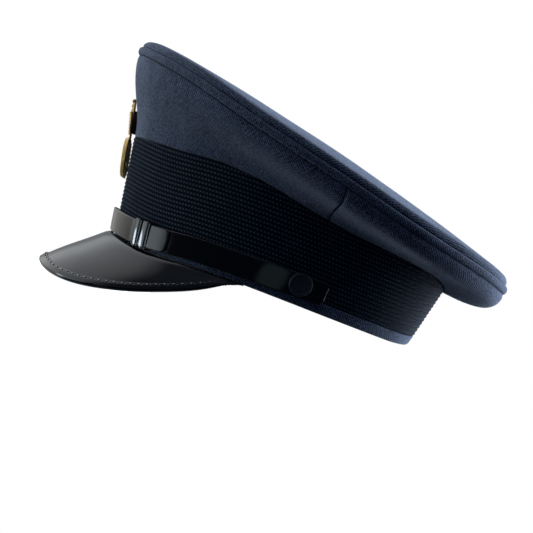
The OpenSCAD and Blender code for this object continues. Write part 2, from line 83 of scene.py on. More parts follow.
def curve(points, end=180.0):
    """A smooth function of the angle from points along half the circumference."""
    x, y = np.array(points, float).T
    grid = np.arange(-30, end + 30.5, 0.5)
    folded = np.abs(grid)
    if end == 180.0:
        folded = np.where(folded > end, 2 * end - folded, folded)
    weights = 1 - np.abs(np.arange(-SPREAD, SPREAD + 0.1, 0.5)) / SPREAD
    padded = np.pad(np.interp(folded, x, y), len(weights) // 2, mode="edge")
    soft = np.convolve(padded, weights / weights.sum(), mode="valid")
    return lambda u: np.interp(np.abs(u), grid, soft)


def round_cap(points):
    f = curve(points)
    return lambda u: f(fold(u))


seam_z = round_cap([(0, 65), (30, 64.5), (46, 63.8), (57, 65.6), (65, 65.9), (78, 63.6), (84, 61.8),
    (95, 57.1), (103, 54.3), (114, 52.1), (128, 50.5), (148, 47.5), (162, 45), (172, 41.5), (180, 39.9)])
low_z = round_cap([(0, 1.4), (20, -0.5), (30, -2.1), (40, -3.5), (50, -3.2), (60, -1.9), (80, -1.1),
    (98, -1.3), (120, -1.9), (150, -2.6), (166, -1.8), (180, -0.6)])
rim_z = round_cap([(0, 118.6), (20, 115.4), (38, 109.6), (47, 105.4), (55, 101), (67, 92.9), (90, 79.3),
    (114, 65.9), (122, 62.9), (131, 59.8), (142, 57), (162, 53.4), (180, 53)])
strap_z = round_cap([(0, 9.3), (20, 7.5), (34, 6), (46, 6), (56, 7.6), (63, 8.8), (77, 9.9), (90, 10.4),
    (102, 10.8), (120, 10.8)])
side_lean = round_cap([(0, 6), (40, 12), (70, 30), (100, 52), (130, 72), (160, 90), (180, 96)])
edge_z = curve([(0, -33), (10, -34.4), (20.7, -37.2), (29, -38.4), (37.4, -38.6), (47.5, -36.4),
    (61.4, -29.8), (78.6, -14.8), (85.2, -4.4), (90, -1), (96, 1)], end=96.0)


def sin(u):
    return np.sin(np.radians(u))


def cos(u):
    return np.cos(np.radians(u))


def unit(v):
    return v / np.maximum(np.linalg.norm(v, axis=-1, keepdims=True), 1e-9)


def xyz(x, y, z):
    return np.stack(np.broadcast_arrays(x, y, z), -1).astype(float)


def round_by(step):
    """The angles of a whole turn, in degrees, as a column."""
    return np.arange(0, 360, step)[:, None]


def turn_in(count):
    """The angles of a whole turn in so many steps, as a column."""
    return np.linspace(0, 360, count, endpoint=False)[:, None]


def run_length(points):
    """The distance along a path at each of its points."""
    return np.concatenate([[0], np.cumsum(np.linalg.norm(np.diff(points, axis=0), axis=1))])


def flare(u):
    return FLARE_SIDE + FLARE_ENDS * cos(u) ** 2 - FLARE_BACK * cos(u)


def wall_pt(u, z, off, lean):
    nx, ny = BAND_L * sin(u), -BAND_W * cos(u)
    size = np.hypot(nx, ny)
    d = (off + lean * z) / size
    return xyz(BAND_W * sin(u) + nx * d, -BAND_L * cos(u) + ny * d, z)


def band_pt(u, z, off):
    return wall_pt(u, z, off, flare(u))


def mohair_low(u):
    return low_z(u) + 7.4


def rim_pt(u, inset, up):
    nx, ny = CROWN_L * sin(u), -CROWN_W * cos(u)
    size = np.hypot(nx, ny)
    return xyz(CROWN_W * sin(u) - nx * inset / size, CROWN_BACK - CROWN_L * cos(u) - ny * inset / size,
        rim_z(u) + up)


def side_pt(u, v, off):
    """A point of the crown's side: v runs from the band seam to the lower groove, off is inward."""
    u, v, off = np.broadcast_arrays(np.asarray(u, float), v, off)
    start, end = band_pt(u, seam_z(u) + 0.3, -0.1), rim_pt(u, 1.1, -0.3)
    flat = (end - start) * [1, 1, 0]
    d = unit(flat)
    reach = np.linalg.norm(end - start, axis=-1, keepdims=True)
    first = reach * mix(0.36, 0.5, fold(u) / 180)[..., None]
    last = reach * mix(0.36, 0.4, fold(u) / 180)[..., None]
    a = side_lean(u)[..., None]
    up = np.array([0, 0, 1.0])
    c1 = start + first * (d * sin(a) + up * cos(a))
    c2 = end - last * (d * 0.05 + up)
    t = v[..., None]
    w = 1 - t
    p = w**3 * start + 3 * w * w * t * c1 + 3 * w * t * t * c2 + t**3 * end
    slope = w * w * (c1 - start) + 2 * w * t * (c2 - c1) + t * t * (end - c2)
    h = np.hypot(slope[..., 0], slope[..., 1])[..., None]
    level = slope * [1, 1, 0] / np.maximum(h, 0.01)
    m = np.linalg.norm(slope, axis=-1, keepdims=True)
    inward = (-level * slope[..., 2:3] + up * h) / m
    return p + off[..., None] * inward


def top_rise(u):
    return mix(5.2, 7.4, fold(u) / 180)


def roll_pt(u, a, off):
    return rim_pt(u, 1.4 + off * cos(a) + 7 * (1 - cos(a)), 6 + top_rise(u) * sin(a) - off * sin(a))


def plane_z(y):
    return TOP_H - TOP_SLOPE * (y - CROWN_BACK)


def top_pt(u, r, off):
    e = roll_pt(u, 90.0, off)
    y = mix(CROWN_BACK, e[..., 1], r)
    left = e[..., 2] + off - plane_z(e[..., 1])
    return xyz(e[..., 0] * r, y, plane_z(y) + DOME * (1 - r * r) + left * r**3 - off)


def ledge(u):
    return 0.8 + 3.4 * np.maximum(cos(u * 90 / (PEAK_ANGLE + 4)), 0) ** 0.8


def edge_pt(u):
    w = u * 90 / PEAK_ANGLE
    return xyz(PEAK_W * sin(w), -PEAK_CORNER - PEAK_REACH * cos(w), edge_z(w))


def peak_at(u, q):
    """A point of the peak's top: q runs from 0 inside the band, 1 at the bend, to 2 at the edge."""
    u, q = np.broadcast_arrays(np.asarray(u, float), q)
    a, b = band_pt(u, low_z(u) - 0.3, -5.0), band_pt(u, low_z(u) - 0.3, ledge(u))
    e = edge_pt(u)
    q = q[..., None]
    t = (q - 0.7) / 0.42
    p, r = mix(a, b, 0.7), mix(b, e, 0.12)
    bend = (1 - t) ** 2 * p + 2 * t * (1 - t) * b + t * t * r
    s = np.clip((q - 1.12) / 0.88, 0, 1.2)
    outer = mix(b, e, q - 1) + np.array([0, 0, 1.1]) * 6.75 * s * s * (1 - s)
    return np.where(q < 0.7, mix(a, b, q), np.where(q > 1.12, outer, bend))


def peak_pt(u, q, depth):
    u, q, depth = np.broadcast_arrays(np.asarray(u, float), q, depth)
    r = np.minimum(q, 1.97)
    n = unit(np.cross(peak_at(u + 0.5, r) - peak_at(u - 0.5, r), peak_at(u, r) - peak_at(u, r - 0.02)))
    return peak_at(u, q) + depth[..., None] * n


def slope_len(u):
    return np.linalg.norm(edge_pt(u) - band_pt(u, low_z(u) - 0.3, ledge(u)), axis=-1)


def edge_in(u, back, depth):
    return peak_pt(u, 2 - back / slope_len(u), depth)


def at_badge(p):
    """Points of the badge's own plane, z outward, moved on to the front of the band."""
    a = math.radians(90 + BADGE_LEAN)
    x, y, z = p[..., 0], p[..., 1], p[..., 2]
    return xyz(x, y * math.cos(a) - z * math.sin(a) - BAND_L - 0.165 * BADGE_Z,
        y * math.sin(a) + z * math.cos(a) + BADGE_Z)


def at_button(p, side):
    """Points about a button's axis, z outward from the band's face, on the left (1) or right (-1)."""
    o = band_pt(BUTTON_ANGLE, BUTTON_Z, 0.0)
    n = unit(np.array([BAND_L * sin(BUTTON_ANGLE), -BAND_W * cos(BUTTON_ANGLE), 0.0]))
    t = math.atan(float(flare(BUTTON_ANGLE)))
    az = n * math.cos(t) - np.array([0, 0, math.sin(t)])
    ax = -n * math.sin(t) - np.array([0, 0, math.cos(t)])
    ay = np.cross(az, ax)
    return (o + p[..., :1] * ax + p[..., 1:2] * ay + p[..., 2:] * az) * [side, 1, 1]


# ---------------------------------------------------------------- mesh building
PIECES = {}  # every piece by its name
EDGE_POINTS = 4  # points round the edge of a thick sheet


def put(name, data):
    """A new object in the scene."""
    thing = bpy.data.objects.new(name, data)
    scene.collection.objects.link(thing)
    return thing


def rework(mesh, work):
    """Changes a mesh by a function of its bmesh."""
    bm = bmesh.new()
    bm.from_mesh(mesh)
    work(bm)
    bm.to_mesh(mesh)
    bm.free()


def make(name, data, mat, body="cap", extra=False):
    """An object from (points, faces, corner UVs) in millimetres.

    It stands for the CAD node of its own name, or, when it is an extra one, for none.
    """
    verts, faces, uvs = data
    mesh = bpy.data.meshes.new(name)
    mesh.from_pydata((np.asarray(verts) * MM).tolist(), [], faces)
    layer = mesh.uv_layers.new(name="UVMap")
    layer.data.foreach_set("uv", np.asarray(uvs, np.float32).ravel())
    mesh.polygons.foreach_set("use_smooth", np.full(len(mesh.polygons), True))
    rework(mesh, lambda bm: bmesh.ops.recalc_face_normals(bm, faces=bm.faces))
    mesh.update()
    piece = PIECES[name] = put(name, mesh)
    mesh.materials.append(mat)
    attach(piece, body)
    if not extra:
        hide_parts(name)
    return piece


def tube(sections, closed):
    """Verts, faces and UVs of a tube through closed sections, with stitched ends where it is open."""
    n, k, _ = sections.shape
    ring = np.concatenate([sections, sections[:, :1]], 1)
    v = np.concatenate([np.zeros((n, 1)), np.cumsum(np.linalg.norm(np.diff(ring, axis=1), axis=2), 1)], 1)
    whole = np.concatenate([sections, sections[:1]], 0) if closed else sections
    along = run_length(whole.mean(1))
    last = n if closed else n - 1
    i, j = np.meshgrid(np.arange(last), np.arange(k), indexing="ij")
    i2, j2 = (i + 1) % n, (j + 1) % k
    faces = np.stack([i * k + j, i * k + j2, i2 * k + j2, i2 * k + j], -1).reshape(-1, 4)
    near_end = [(along[i], v[i, j]), (along[i], v[i, j + 1])]
    far_end = [(along[i + 1], v[i2, j + 1]), (along[i + 1], v[i2, j])]
    uvs = np.stack([np.stack(c, -1) for c in near_end + far_end], 2).reshape(-1, 2)
    verts, faces = sections.reshape(-1, 3), faces.tolist()
    if not closed:
        half = k // 2
        for base in (0, (n - 1) * k):
            for j in range(half - 1 + k % 2):
                loop = list(dict.fromkeys([base + j, base + j + 1, base + k - 2 - j, base + k - 1 - j]))
                if len(loop) > 2:
                    faces.append(loop)
                    uvs = np.concatenate([uvs, verts[loop][:, :2]])
    return verts, faces, uvs


def sweep(name, sections, mat, body="cap", closed=True):
    return make(name, tube(sections, closed), mat, body)


def shell_sections(outer, inner, bulge):
    """Sections of a thick sheet: up its outer face, round its edge, and back down the inner one."""
    def rim(a, b, prev, reach):
        away = unit(a - prev)
        mid = (a + b) / 2
        angles = np.linspace(0, math.pi, EDGE_POINTS + 2)[1:-1]
        return np.stack([mid + (a - mid) * math.cos(t) + away * reach * math.sin(t) for t in angles], 1)

    top = rim(outer[:, -1], inner[:, -1], outer[:, -2], bulge[1])
    low = rim(inner[:, 0], outer[:, 0], inner[:, 1], bulge[0])
    return np.concatenate([outer, top, inner[:, ::-1], low], 1)


def shell(name, outer, inner, mat, body="cap", closed=True, bulge=(0.3, 0.3)):
    return sweep(name, shell_sections(outer, inner, bulge), mat, body, closed)


def seen_flat(verts, faces):
    """UVs as the points' own x and y."""
    return verts[[x for f in faces for x in f]][:, :2]


def disc(profile, turns=120):
    """Verts, faces and UVs of a turned form: profile is (radius, height) from the axis and back to it."""
    r, z = np.array(profile, float).T
    a = turn_in(turns)
    verts = xyz(r * cos(a), r * sin(a), z + 0 * a).reshape(-1, 3)
    k = len(r)
    faces = [[i * k + j, i * k + j + 1, (i + 1) % turns * k + j + 1, (i + 1) % turns * k + j]
        for i in range(turns) for j in range(k - 1)]
    return verts, faces, seen_flat(verts, faces)


def lathe(name, profile, mat, body, place):
    """A turned solid, moved into place, with the points on its axis joined."""
    verts, faces, uvs = disc(profile, 96)
    piece = make(name, (place(verts), faces, uvs), mat, body)

    def weld(bm):
        bmesh.ops.remove_doubles(bm, verts=bm.verts, dist=1e-6)
        bmesh.ops.dissolve_degenerate(bm, edges=bm.edges, dist=1e-7)
    rework(piece.data, weld)


def moved(pieces, place):
    return [(place(v), f, t) for v, f, t in pieces]


def merge(name, pieces, mat, extra=False):
    """One object from several lists of (verts, faces, uvs)."""
    verts, faces, uvs, base = [], [], [], 0
    for v, f, t in pieces:
        verts.append(np.asarray(v))
        faces += [[base + x for x in loop] for loop in f]
        uvs.append(np.asarray(t))
        base += len(verts[-1])
    return make(name, (np.concatenate(verts), faces, np.concatenate(uvs)), mat, extra=extra)


def dome_sheet(outer, inner):
    """Verts, faces and UVs of a dome between two sheets of rings that shrink towards the middle."""
    n, m, _ = outer.shape
    k = n * m
    verts = np.concatenate([outer.reshape(-1, 3), inner.reshape(-1, 3), outer[:, -1].mean(0)[None],
        inner[:, -1].mean(0)[None]])
    faces = []
    for i in range(n):
        q = (i + 1) % n
        for j in range(m - 1):
            a, b = i * m + j, q * m + j
            faces += [[a, b, b + 1, a + 1], [k + a, k + a + 1, k + b + 1, k + b]]
        faces += [[i * m, k + i * m, k + q * m, q * m], [i * m + m - 1, q * m + m - 1, 2 * k],
            [k + q * m + m - 1, k + i * m + m - 1, 2 * k + 1]]
    flat = []
    for sheet in (outer, inner):
        steps = np.linalg.norm(np.diff(sheet, axis=1), axis=2)
        reach = np.concatenate([np.zeros((n, 1)), np.cumsum(steps[:, ::-1], 1)], 1)[:, ::-1]
        flat.append((unit(sheet[..., :2] - sheet[:, -1:, :2].mean(0)) * reach[..., None]).reshape(-1, 2))
    flat = np.concatenate(flat + [np.zeros((2, 2))])
    return verts, faces, flat[np.concatenate([np.array(f) for f in faces])]


def soften(rows, first, last, rounds):
    """Rounds off a crease between two columns of a grid of points."""
    for _ in range(rounds):
        rows[:, first:last] = (rows[:, first - 1 : last - 1] + 2 * rows[:, first:last]
            + rows[:, first + 1 : last + 1]) / 4
    return rows


def ripple(p, size, seed=0.0):
    """A slow smooth wave through space, from -1 to 1, for cloth that isn't quite even."""
    x, y, z = (p[..., i] / size for i in range(3))
    return (np.sin(x * 1.7 + y * 1.1 + seed) * np.sin(y * 1.3 - z * 1.9 + 2 * seed)
        + 0.5 * np.sin(x * 2.9 - z * 2.3 + seed) * np.sin(y * 3.1 + 1.3)) / 1.5


# ---------------------------------------------------------------- materials
class Nodes:
    """A node tree, built up by calls. Numbers and colours sit on their own sockets."""

    def __init__(self, tree):
        self.tree = tree

    def node(self, kind, inputs=(), **props):
        n = self.tree.nodes.new("ShaderNode" + kind)
        for key, value in props.items():
            setattr(n, key, value)
        for key, value in dict(inputs).items():
            if isinstance(value, bpy.types.NodeSocket):
                self.tree.links.new(value, n.inputs[key])
            else:
                n.inputs[key].default_value = value
        return n


class Shader(Nodes):
    """A node material, built from the shader outward."""

    def __init__(self, name, color, **settings):
        self.mat = bpy.data.materials.new(name)
        self.mat.use_nodes = True
        super().__init__(self.mat.node_tree)
        self.bsdf = self.tree.nodes["Principled BSDF"]
        self.bsdf.inputs["Base Color"].default_value = (*color, 1)
        for key, value in settings.items():
            self.bsdf.inputs[key.replace("_", " ").title().replace("Ior", "IOR")].default_value = value

    def link(self, source, target):
        self.tree.links.new(source, self.bsdf.inputs[target])

    def math(self, how, a, b=0.0, c=0.0):
        return self.node("Math", {0: a, 1: b, 2: c}, operation=how).outputs[0]

    def add(self, value, share, other):
        """value times share, plus other."""
        return self.math("MULTIPLY_ADD", value, share, other)

    def grazing(self, low, high):
        """0 to 1 as the surface turns away from the eye."""
        return self.range(self.node("LayerWeight", {"Blend": 0.5}).outputs["Facing"], low, high)

    def uv(self):
        return self.node("TexCoord").outputs["UV"]

    def place(self):
        return self.node("TexCoord").outputs["Object"]

    def noise(self, scale, detail=2.0, rough=0.5, at=None):
        """Noise at so many features a metre (or a millimetre, on UVs), from 0 to 1."""
        return self.node("TexNoise", {"Vector": at or self.place(), "Scale": scale,
            "Detail": detail, "Roughness": rough}).outputs[0]

    def wave(self, across, along, pitch, wobble, wobble_scale):
        """Parallel ridges in UV millimetres, from -1 to 1, with their crests across a direction."""
        turn = 2 * math.pi / pitch
        phase = self.node("VectorMath", {0: self.uv(), 1: (across * turn, along * turn, 0)},
            operation="DOT_PRODUCT").outputs["Value"]
        return self.math("SINE", self.add(self.noise(wobble_scale, at=self.uv()), wobble, phase))

    def along(self):
        return self.node("SeparateXYZ", {0: self.uv()}).outputs["X"]

    def row(self):
        return self.node("SeparateXYZ", {0: self.uv()}).outputs["Y"]

    def range(self, value, low, high, to_low=0.0, to_high=1.0):
        return self.node("MapRange", {"Value": value, "From Min": low, "From Max": high,
            "To Min": to_low, "To Max": to_high}).outputs["Result"]

    def blend(self, amount, a, b):
        n = self.node("Mix", data_type="RGBA")
        for socket, value in ((n.inputs[0], amount), (n.inputs[6], a), (n.inputs[7], b)):
            if isinstance(value, bpy.types.NodeSocket):
                self.tree.links.new(value, socket)
            else:
                socket.default_value = (*value, 1) if isinstance(value, tuple) else value
        return n.outputs[2]

    def bump(self, height, depth):
        """Raises the surface by height times depth, in millimetres."""
        n = self.node("Bump", {"Height": height, "Distance": depth * MM, "Strength": 1.0})
        self.link(n.outputs[0], "Normal")

    def color(self, value):
        self.link(value, "Base Color")

    def rough(self, value):
        self.link(value, "Roughness")


def wool_shader():
    s = Shader("wool", (0.06, 0.075, 0.11), roughness=0.95, sheen_weight=0.22, sheen_roughness=0.5,
        sheen_tint=(0.85, 0.9, 1.0, 1), specular_ior_level=0.12)
    twill = s.wave(0.72, 0.69, 1.5, 5.0, 0.05)
    yarn = s.wave(0.8, -0.6, 1.9, 9.0, 0.12)
    nap = s.noise(750, 2.0, 0.6)
    fleck = s.noise(1900, 1.0, 0.5)
    patch = s.noise(60, 3.0, 0.55)
    weave = s.add(yarn, 0.35, twill)
    tone = s.add(weave, 0.15, nap)
    tone = s.add(fleck, 0.7, tone)
    tone = s.add(patch, 0.25, tone)
    tone = s.range(tone, 0.82, 1.12)
    # painted sheen: as the surface turns away from the eye, the colour is blended to a lighter copy of the
    # cloth's tones
    grazing = s.grazing(0.5, 0.95)
    cloth = s.blend(tone, (0.0125, 0.019, 0.038), (0.12, 0.154, 0.226))
    painted_sheen_color = s.blend(tone, (0.024, 0.036, 0.068), (0.215, 0.275, 0.39))
    s.color(s.blend(grazing, cloth, painted_sheen_color))
    height = s.add(weave, 0.3, s.add(fleck, 0.5, nap))
    s.bump(height, 0.3)
    return s.mat


def mohair_shader():
    s = Shader("mohair", (0.008, 0.012, 0.02), roughness=0.85, specular_ior_level=0.03)
    thread = s.wave(1.0, 0.35, 0.42, 2.5, 0.3)
    fuzz = s.noise(1100)
    patch = s.noise(70)
    tone = s.add(thread, 0.12, s.add(patch, 0.5, fuzz))
    # painted highlight and shade: bead tops take the lighter yarn colour, the gaps between rows and beads a
    # near-black painted shade; towards grazing the bead pattern evens out towards 0.6
    along, up = s.along(), s.row()
    rib = s.math("COSINE", s.math("MULTIPLY", up, 2 * math.pi / RIB))
    painted_bead_light = s.range(s.add(rib, -0.5, 0.5), 0.15, 0.9)
    step = s.math("MULTIPLY", s.math("FLOOR", s.math("MULTIPLY", up, 1 / RIB)), math.pi)
    bead = s.math("COSINE", s.add(along, 2 * math.pi / BEAD, step))
    bead = s.range(bead, -0.9, 0.9, 0.16, 1.0)
    grazing = s.grazing(0.6, 0.9)
    bead = s.add(s.math("SUBTRACT", 0.6, bead), grazing, bead)
    painted_bead_light = s.math("MULTIPLY", painted_bead_light, bead)
    yarn = s.blend(s.range(tone, 0.45, 1.15), (0.026, 0.042, 0.066), (0.088, 0.122, 0.155))
    s.color(s.blend(painted_bead_light, (0.0022, 0.0044, 0.011), yarn))
    s.rough(s.range(fuzz, 0.2, 0.8, 0.6, 0.8))
    s.bump(s.add(thread, 0.3, fuzz), 0.05)
    return s.mat


def patent_shader():
    tint = (0.0045, 0.0048, 0.0058)
    s = Shader("patent", tint, roughness=0.1, specular_ior_level=0.26, coat_weight=0.36, coat_roughness=0.02)
    slow = s.noise(38, 2.0, 0.4)
    skin = s.noise(420)
    scuff = s.noise(900, 4.0, 0.7)
    s.rough(s.range(s.math("POWER", scuff, 3.0), 0.05, 0.4, 0.07, 0.2))
    s.color(s.blend(skin, tuple(c * 0.7 for c in tint), tuple(c * 1.5 for c in tint)))
    s.bump(s.add(skin, 0.018, slow), 0.5)
    return s.mat


def grain_shader(name, dark, light, roughness, pitch):
    """Grained leather: small cells with soft creases between them."""
    s = Shader(name, light, roughness=roughness, specular_ior_level=0.45)
    cells = s.node("TexVoronoi", {"Vector": s.place(), "Scale": 1000 / pitch,
        "Randomness": 0.9}, feature="SMOOTH_F1").outputs["Distance"]
    fine = s.noise(1600, 3.0, 0.6)
    patch = s.noise(40, 3.0, 0.5)
    height = s.add(fine, 0.2, s.math("SUBTRACT", 1.0, cells))
    s.color(s.blend(s.range(s.add(patch, 0.6, height), 0.5, 1.5), dark, light))
    s.rough(s.range(cells, 0.0, 0.8, roughness - 0.07, roughness + 0.12))
    s.bump(height, 0.12)
    return s.mat


def cloth_shader(name, dark, light, roughness, pitch, sheen):
    """A plain woven cloth: threads each way, in UV millimetres."""
    s = Shader(name, light, roughness=roughness, sheen_weight=sheen, sheen_roughness=0.4)
    warp, weft = s.wave(1, 0, pitch, 1.5, 0.2), s.wave(0, 1, pitch, 1.5, 0.2)
    weave = s.math("MULTIPLY", warp, weft)
    patch = s.noise(50, 3.0, 0.6)
    tone = s.add(weave, 0.3, patch)
    s.color(s.blend(s.range(tone, 0.1, 0.9), dark, light))
    s.bump(s.add(patch, 0.6, weave), 0.06)
    return s.mat


def mottled(name, color, dark, light, fine, patch, share, low, high, depth, rough=None, **settings):
    """A material between two colours: a fine noise with patches in it, low to high, raised by a depth."""
    s = Shader(name, color, **settings)
    fine, patch = s.noise(*fine), s.noise(*patch)
    s.color(s.blend(s.range(s.add(patch, share, fine), low, high), dark, light))
    if rough:
        s.rough(s.range(fine, *rough))
    s.bump(fine, depth)
    return s.mat


def metal_shader(name, dark, light, roughness, metallic=1.0):
    rough = (0.2, 0.8, roughness - 0.08, roughness + 0.12)
    return mottled(name, light, dark, light, (700, 3.0, 0.6), (90,), 0.7, 0.5, 1.2, 0.02, rough,
        metallic=metallic, roughness=roughness)


def board_like(name, dark, light, roughness):
    return mottled(name, light, dark, light, (300, 4.0, 0.7), (1400,), 0.5, 0.4, 1.1, 0.05,
        roughness=roughness)


def vinyl_shader():
    s = Shader("vinyl", (0.82, 0.88, 0.92), roughness=0.09, alpha=0.22, specular_ior_level=0.6)
    scuff, slow = s.noise(500, 4.0, 0.7), s.noise(30)
    s.rough(s.range(scuff, 0.35, 0.75, 0.05, 0.3))
    s.color(s.blend(scuff, (0.72, 0.8, 0.85), (0.9, 0.94, 0.96)))
    s.bump(slow, 0.5)
    return s.mat


WOOL, MOHAIR, PATENT = wool_shader(), mohair_shader(), patent_shader()
PEAK_LINING = grain_shader("peak_lining", (0.008, 0.008, 0.009), (0.03, 0.03, 0.033), 0.5, 0.9)
LEATHER = grain_shader("leather", (0.055, 0.025, 0.012), (0.17, 0.085, 0.042), 0.42, 1.3)
LINING = cloth_shader("lining", (0.018, 0.021, 0.028), (0.05, 0.057, 0.07), 0.42, 0.5, 0.3)
RIBBON = cloth_shader("ribbon", (0.01, 0.01, 0.012), (0.035, 0.035, 0.04), 0.4, 0.6, 0.2)
BOARD = board_like("board", (0.26, 0.22, 0.16), (0.5, 0.44, 0.34), 0.85)
VINYL = vinyl_shader()
FELT = mottled("felt", (0.05, 0.007, 0.014), (0.02, 0.003, 0.006), (0.08, 0.012, 0.022), (1400, 4.0, 0.7),
    (150,), 0.5, 0.4, 1.1, 0.2, roughness=0.95, sheen_weight=0.15, sheen_tint=(1, 0.6, 0.6, 1))
BUTTON = mottled("button", (0.022, 0.025, 0.03), (0.014, 0.016, 0.02), (0.034, 0.038, 0.044),
    (1500, 3.0, 0.6), (200,), 0.6, 0.4, 1.2, 0.02, (0.3, 0.7, 0.48, 0.68), roughness=0.55,
    specular_ior_level=0.4)
GILT = metal_shader("gilt", (0.6, 0.38, 0.11), (0.95, 0.7, 0.28), 0.4, 0.62)
BRASS = metal_shader("brass", (0.4, 0.3, 0.12), (0.68, 0.54, 0.26), 0.38)
WIRE = metal_shader("wire", (0.3, 0.3, 0.32), (0.6, 0.6, 0.63), 0.35)
BLACKENED = metal_shader("blackened", (0.008, 0.008, 0.008), (0.025, 0.025, 0.025), 0.5, 0.0)
CUT_EDGE = board_like("cut_edge", (0.045, 0.048, 0.047), (0.1, 0.105, 0.1), 0.45)
# the peak's stitch thread: partly metallic, with a light grey colour that paints the glints along the
# binding's stitch line
PAINTED_GLINT_THREAD = metal_shader("painted_glint_thread", (0.3, 0.32, 0.34), (0.55, 0.58, 0.6), 0.3, 0.7)
TAN_THREAD = cloth_shader("tan_thread", (0.12, 0.07, 0.04), (0.35, 0.24, 0.15), 0.7, 0.3, 0.2)
SLOTS = {"wool": WOOL, "mohair": MOHAIR, "patent": PATENT, "peak_lining": PEAK_LINING, "board": BOARD,
    "leather": LEATHER, "ribbon": RIBBON, "lining": LINING, "vinyl": VINYL, "felt": FELT,
    "button": BUTTON, "gilt": GILT, "brass": BRASS, "blackened": BLACKENED, "wire": WIRE}
for part in frame["record"]["subparts"]:
    shown = frame["nodes"][part["node"]]
    shown.data.materials.clear()
    shown.data.materials.append(SLOTS[part["material_slot"]])


# ---------------------------------------------------------------- the crown
def near(distance, width):
    """1 at a seam, fading to 0 over a width in millimetres."""
    return np.exp(-((distance / width) ** 2))


def seam_skew(v):
    """How far the seams at the sides lean forward, in degrees, up the crown."""
    return 1.8 + 10.5 * v * (1 - 0.38 * v)


def crown_quarter(name, start, end):
    u = np.linspace(start, end, int(abs(end - start) * 1.7))[:, None]
    v = [np.linspace(0, 0.08, 6)[:-1], np.linspace(0.08, 0.9, 30), np.linspace(0.9, 1, 9)[1:]]
    v = np.concatenate(v)[None]
    skewed = u - seam_skew(v) * sin(u) ** 3
    height = np.linalg.norm(side_pt(skewed, 1.0, 0.0) - side_pt(skewed, 0.0, 0.0), axis=-1)
    plain = side_pt(skewed, v, 0.0)
    dip = (0.42 * (near((u - start) * 2.1, 0.55) + near((end - u) * 2.1, 0.55))
        + 0.5 * near((1 - v) * height, 1.3) + 0.35 * near(v * height, 1.2) - 0.12)
    dip = dip + 0.28 * ripple(plain, 26.0) + 0.1 * ripple(plain, 9.0, 2.0)
    outer, inner = side_pt(skewed, v, dip), side_pt(skewed, v, dip + CLOTH_T)
    shell(name, outer, inner, WOOL, closed=False, bulge=(0.05, 0.2))


SEAM_GAP = 0.14  # degrees from each quarter's edge to the seam's middle
for name, start, end in (("crown_front_left", 0, SIDE_SEAM), ("crown_rear_left", SIDE_SEAM, 180),
        ("crown_front_right", -SIDE_SEAM, 0), ("crown_rear_right", -180, -SIDE_SEAM)):
    crown_quarter(name, start + SEAM_GAP, end - SEAM_GAP)


def crown_top():
    u = round_by(0.8)
    a = np.linspace(0, 90, 15)[None]
    r = 1 - 0.97 * np.linspace(0, 1, 46)[None, 1:] ** 1.15

    def rows(off):
        roll, dome = roll_pt(u, a, off), top_pt(u, r, off)
        sheet = soften(np.concatenate([roll, dome], 1), 9, 26, 14)
        seam = near(np.arange(sheet.shape[1]) * 0.8, 1.2)[None, :, None]
        dip = 0.4 * seam + 0.3 * ripple(sheet, 32.0)[..., None]
        return sheet - dip * unit(sheet - [0, CROWN_BACK, 60.0])

    make("crown_top", dome_sheet(rows(0.0), rows(CLOTH_T)), WOOL)


crown_top()


def smooth_path(points, closed=False):
    """Rounds the corners of a path of 2-D points."""
    p = np.array(points, float)
    for _ in range(2):
        q = np.roll(p, -1, 0)
        pair = np.stack([0.75 * p + 0.25 * q, 0.25 * p + 0.75 * q], 1)
        p = pair.reshape(-1, 2) if closed else np.concatenate([p[:1], pair[:-1].reshape(-1, 2), p[-1:]])
    return p


def crown_welt():
    profile = smooth_path([(2.6, 0.3), (1.2, 0.35), (0.15, 0.9), (-0.35, 2.0), (-0.4, 3.6), (0, 4.9),
        (0.9, 5.55), (2.6, 5.7)])
    u = round_by(0.75)
    inset = profile[None, :, 0] + 0.1 * np.sin(np.radians(u) * 23) * np.sin(np.radians(u) * 7)
    sweep("crown_welt", rim_pt(u, inset, profile[None, :, 1]), WOOL)


crown_welt()


# ---------------------------------------------------------------- the head band
RIB_RISE = 0.55  # how far the braid's beads stand out
PRESS_AT, PRESS_REACH = 40.5, 7.5  # where the keepers press, and how far to each side, in degrees
PRESS_TALL = 3.0  # how far it reaches past the strap's edges
PRESS_FLAT, PRESS_IN, PRESS_CLOTH = 0.8, 0.15, 0.4  # share of relief lost, and how far braid and cloth go in


def braid_relief(along, h):
    """The braid's surface: rows of rounded beads, each row half a bead on from the last."""
    row = np.floor(h / RIB)
    y = 2 * (h / RIB - row) - 1
    x = along / BEAD + 0.5 * np.mod(row, 2)
    return np.cos(np.pi * y / 2) ** 1.2 * (0.5 + 0.5 * np.cos(2 * np.pi * x))


def pressed(u, z):
    """1 where the keepers lie on the braid and the cloth and press them flat, fading to 0 round them."""
    across = np.abs(np.abs((u + 180) % 360 - 180) - PRESS_AT)
    up = np.abs(z - strap_z(u))
    return np.clip((PRESS_REACH - across) / 1.5, 0, 1) * np.clip((STRAP_H / 2 + PRESS_TALL - up) / 1.4, 0, 1)


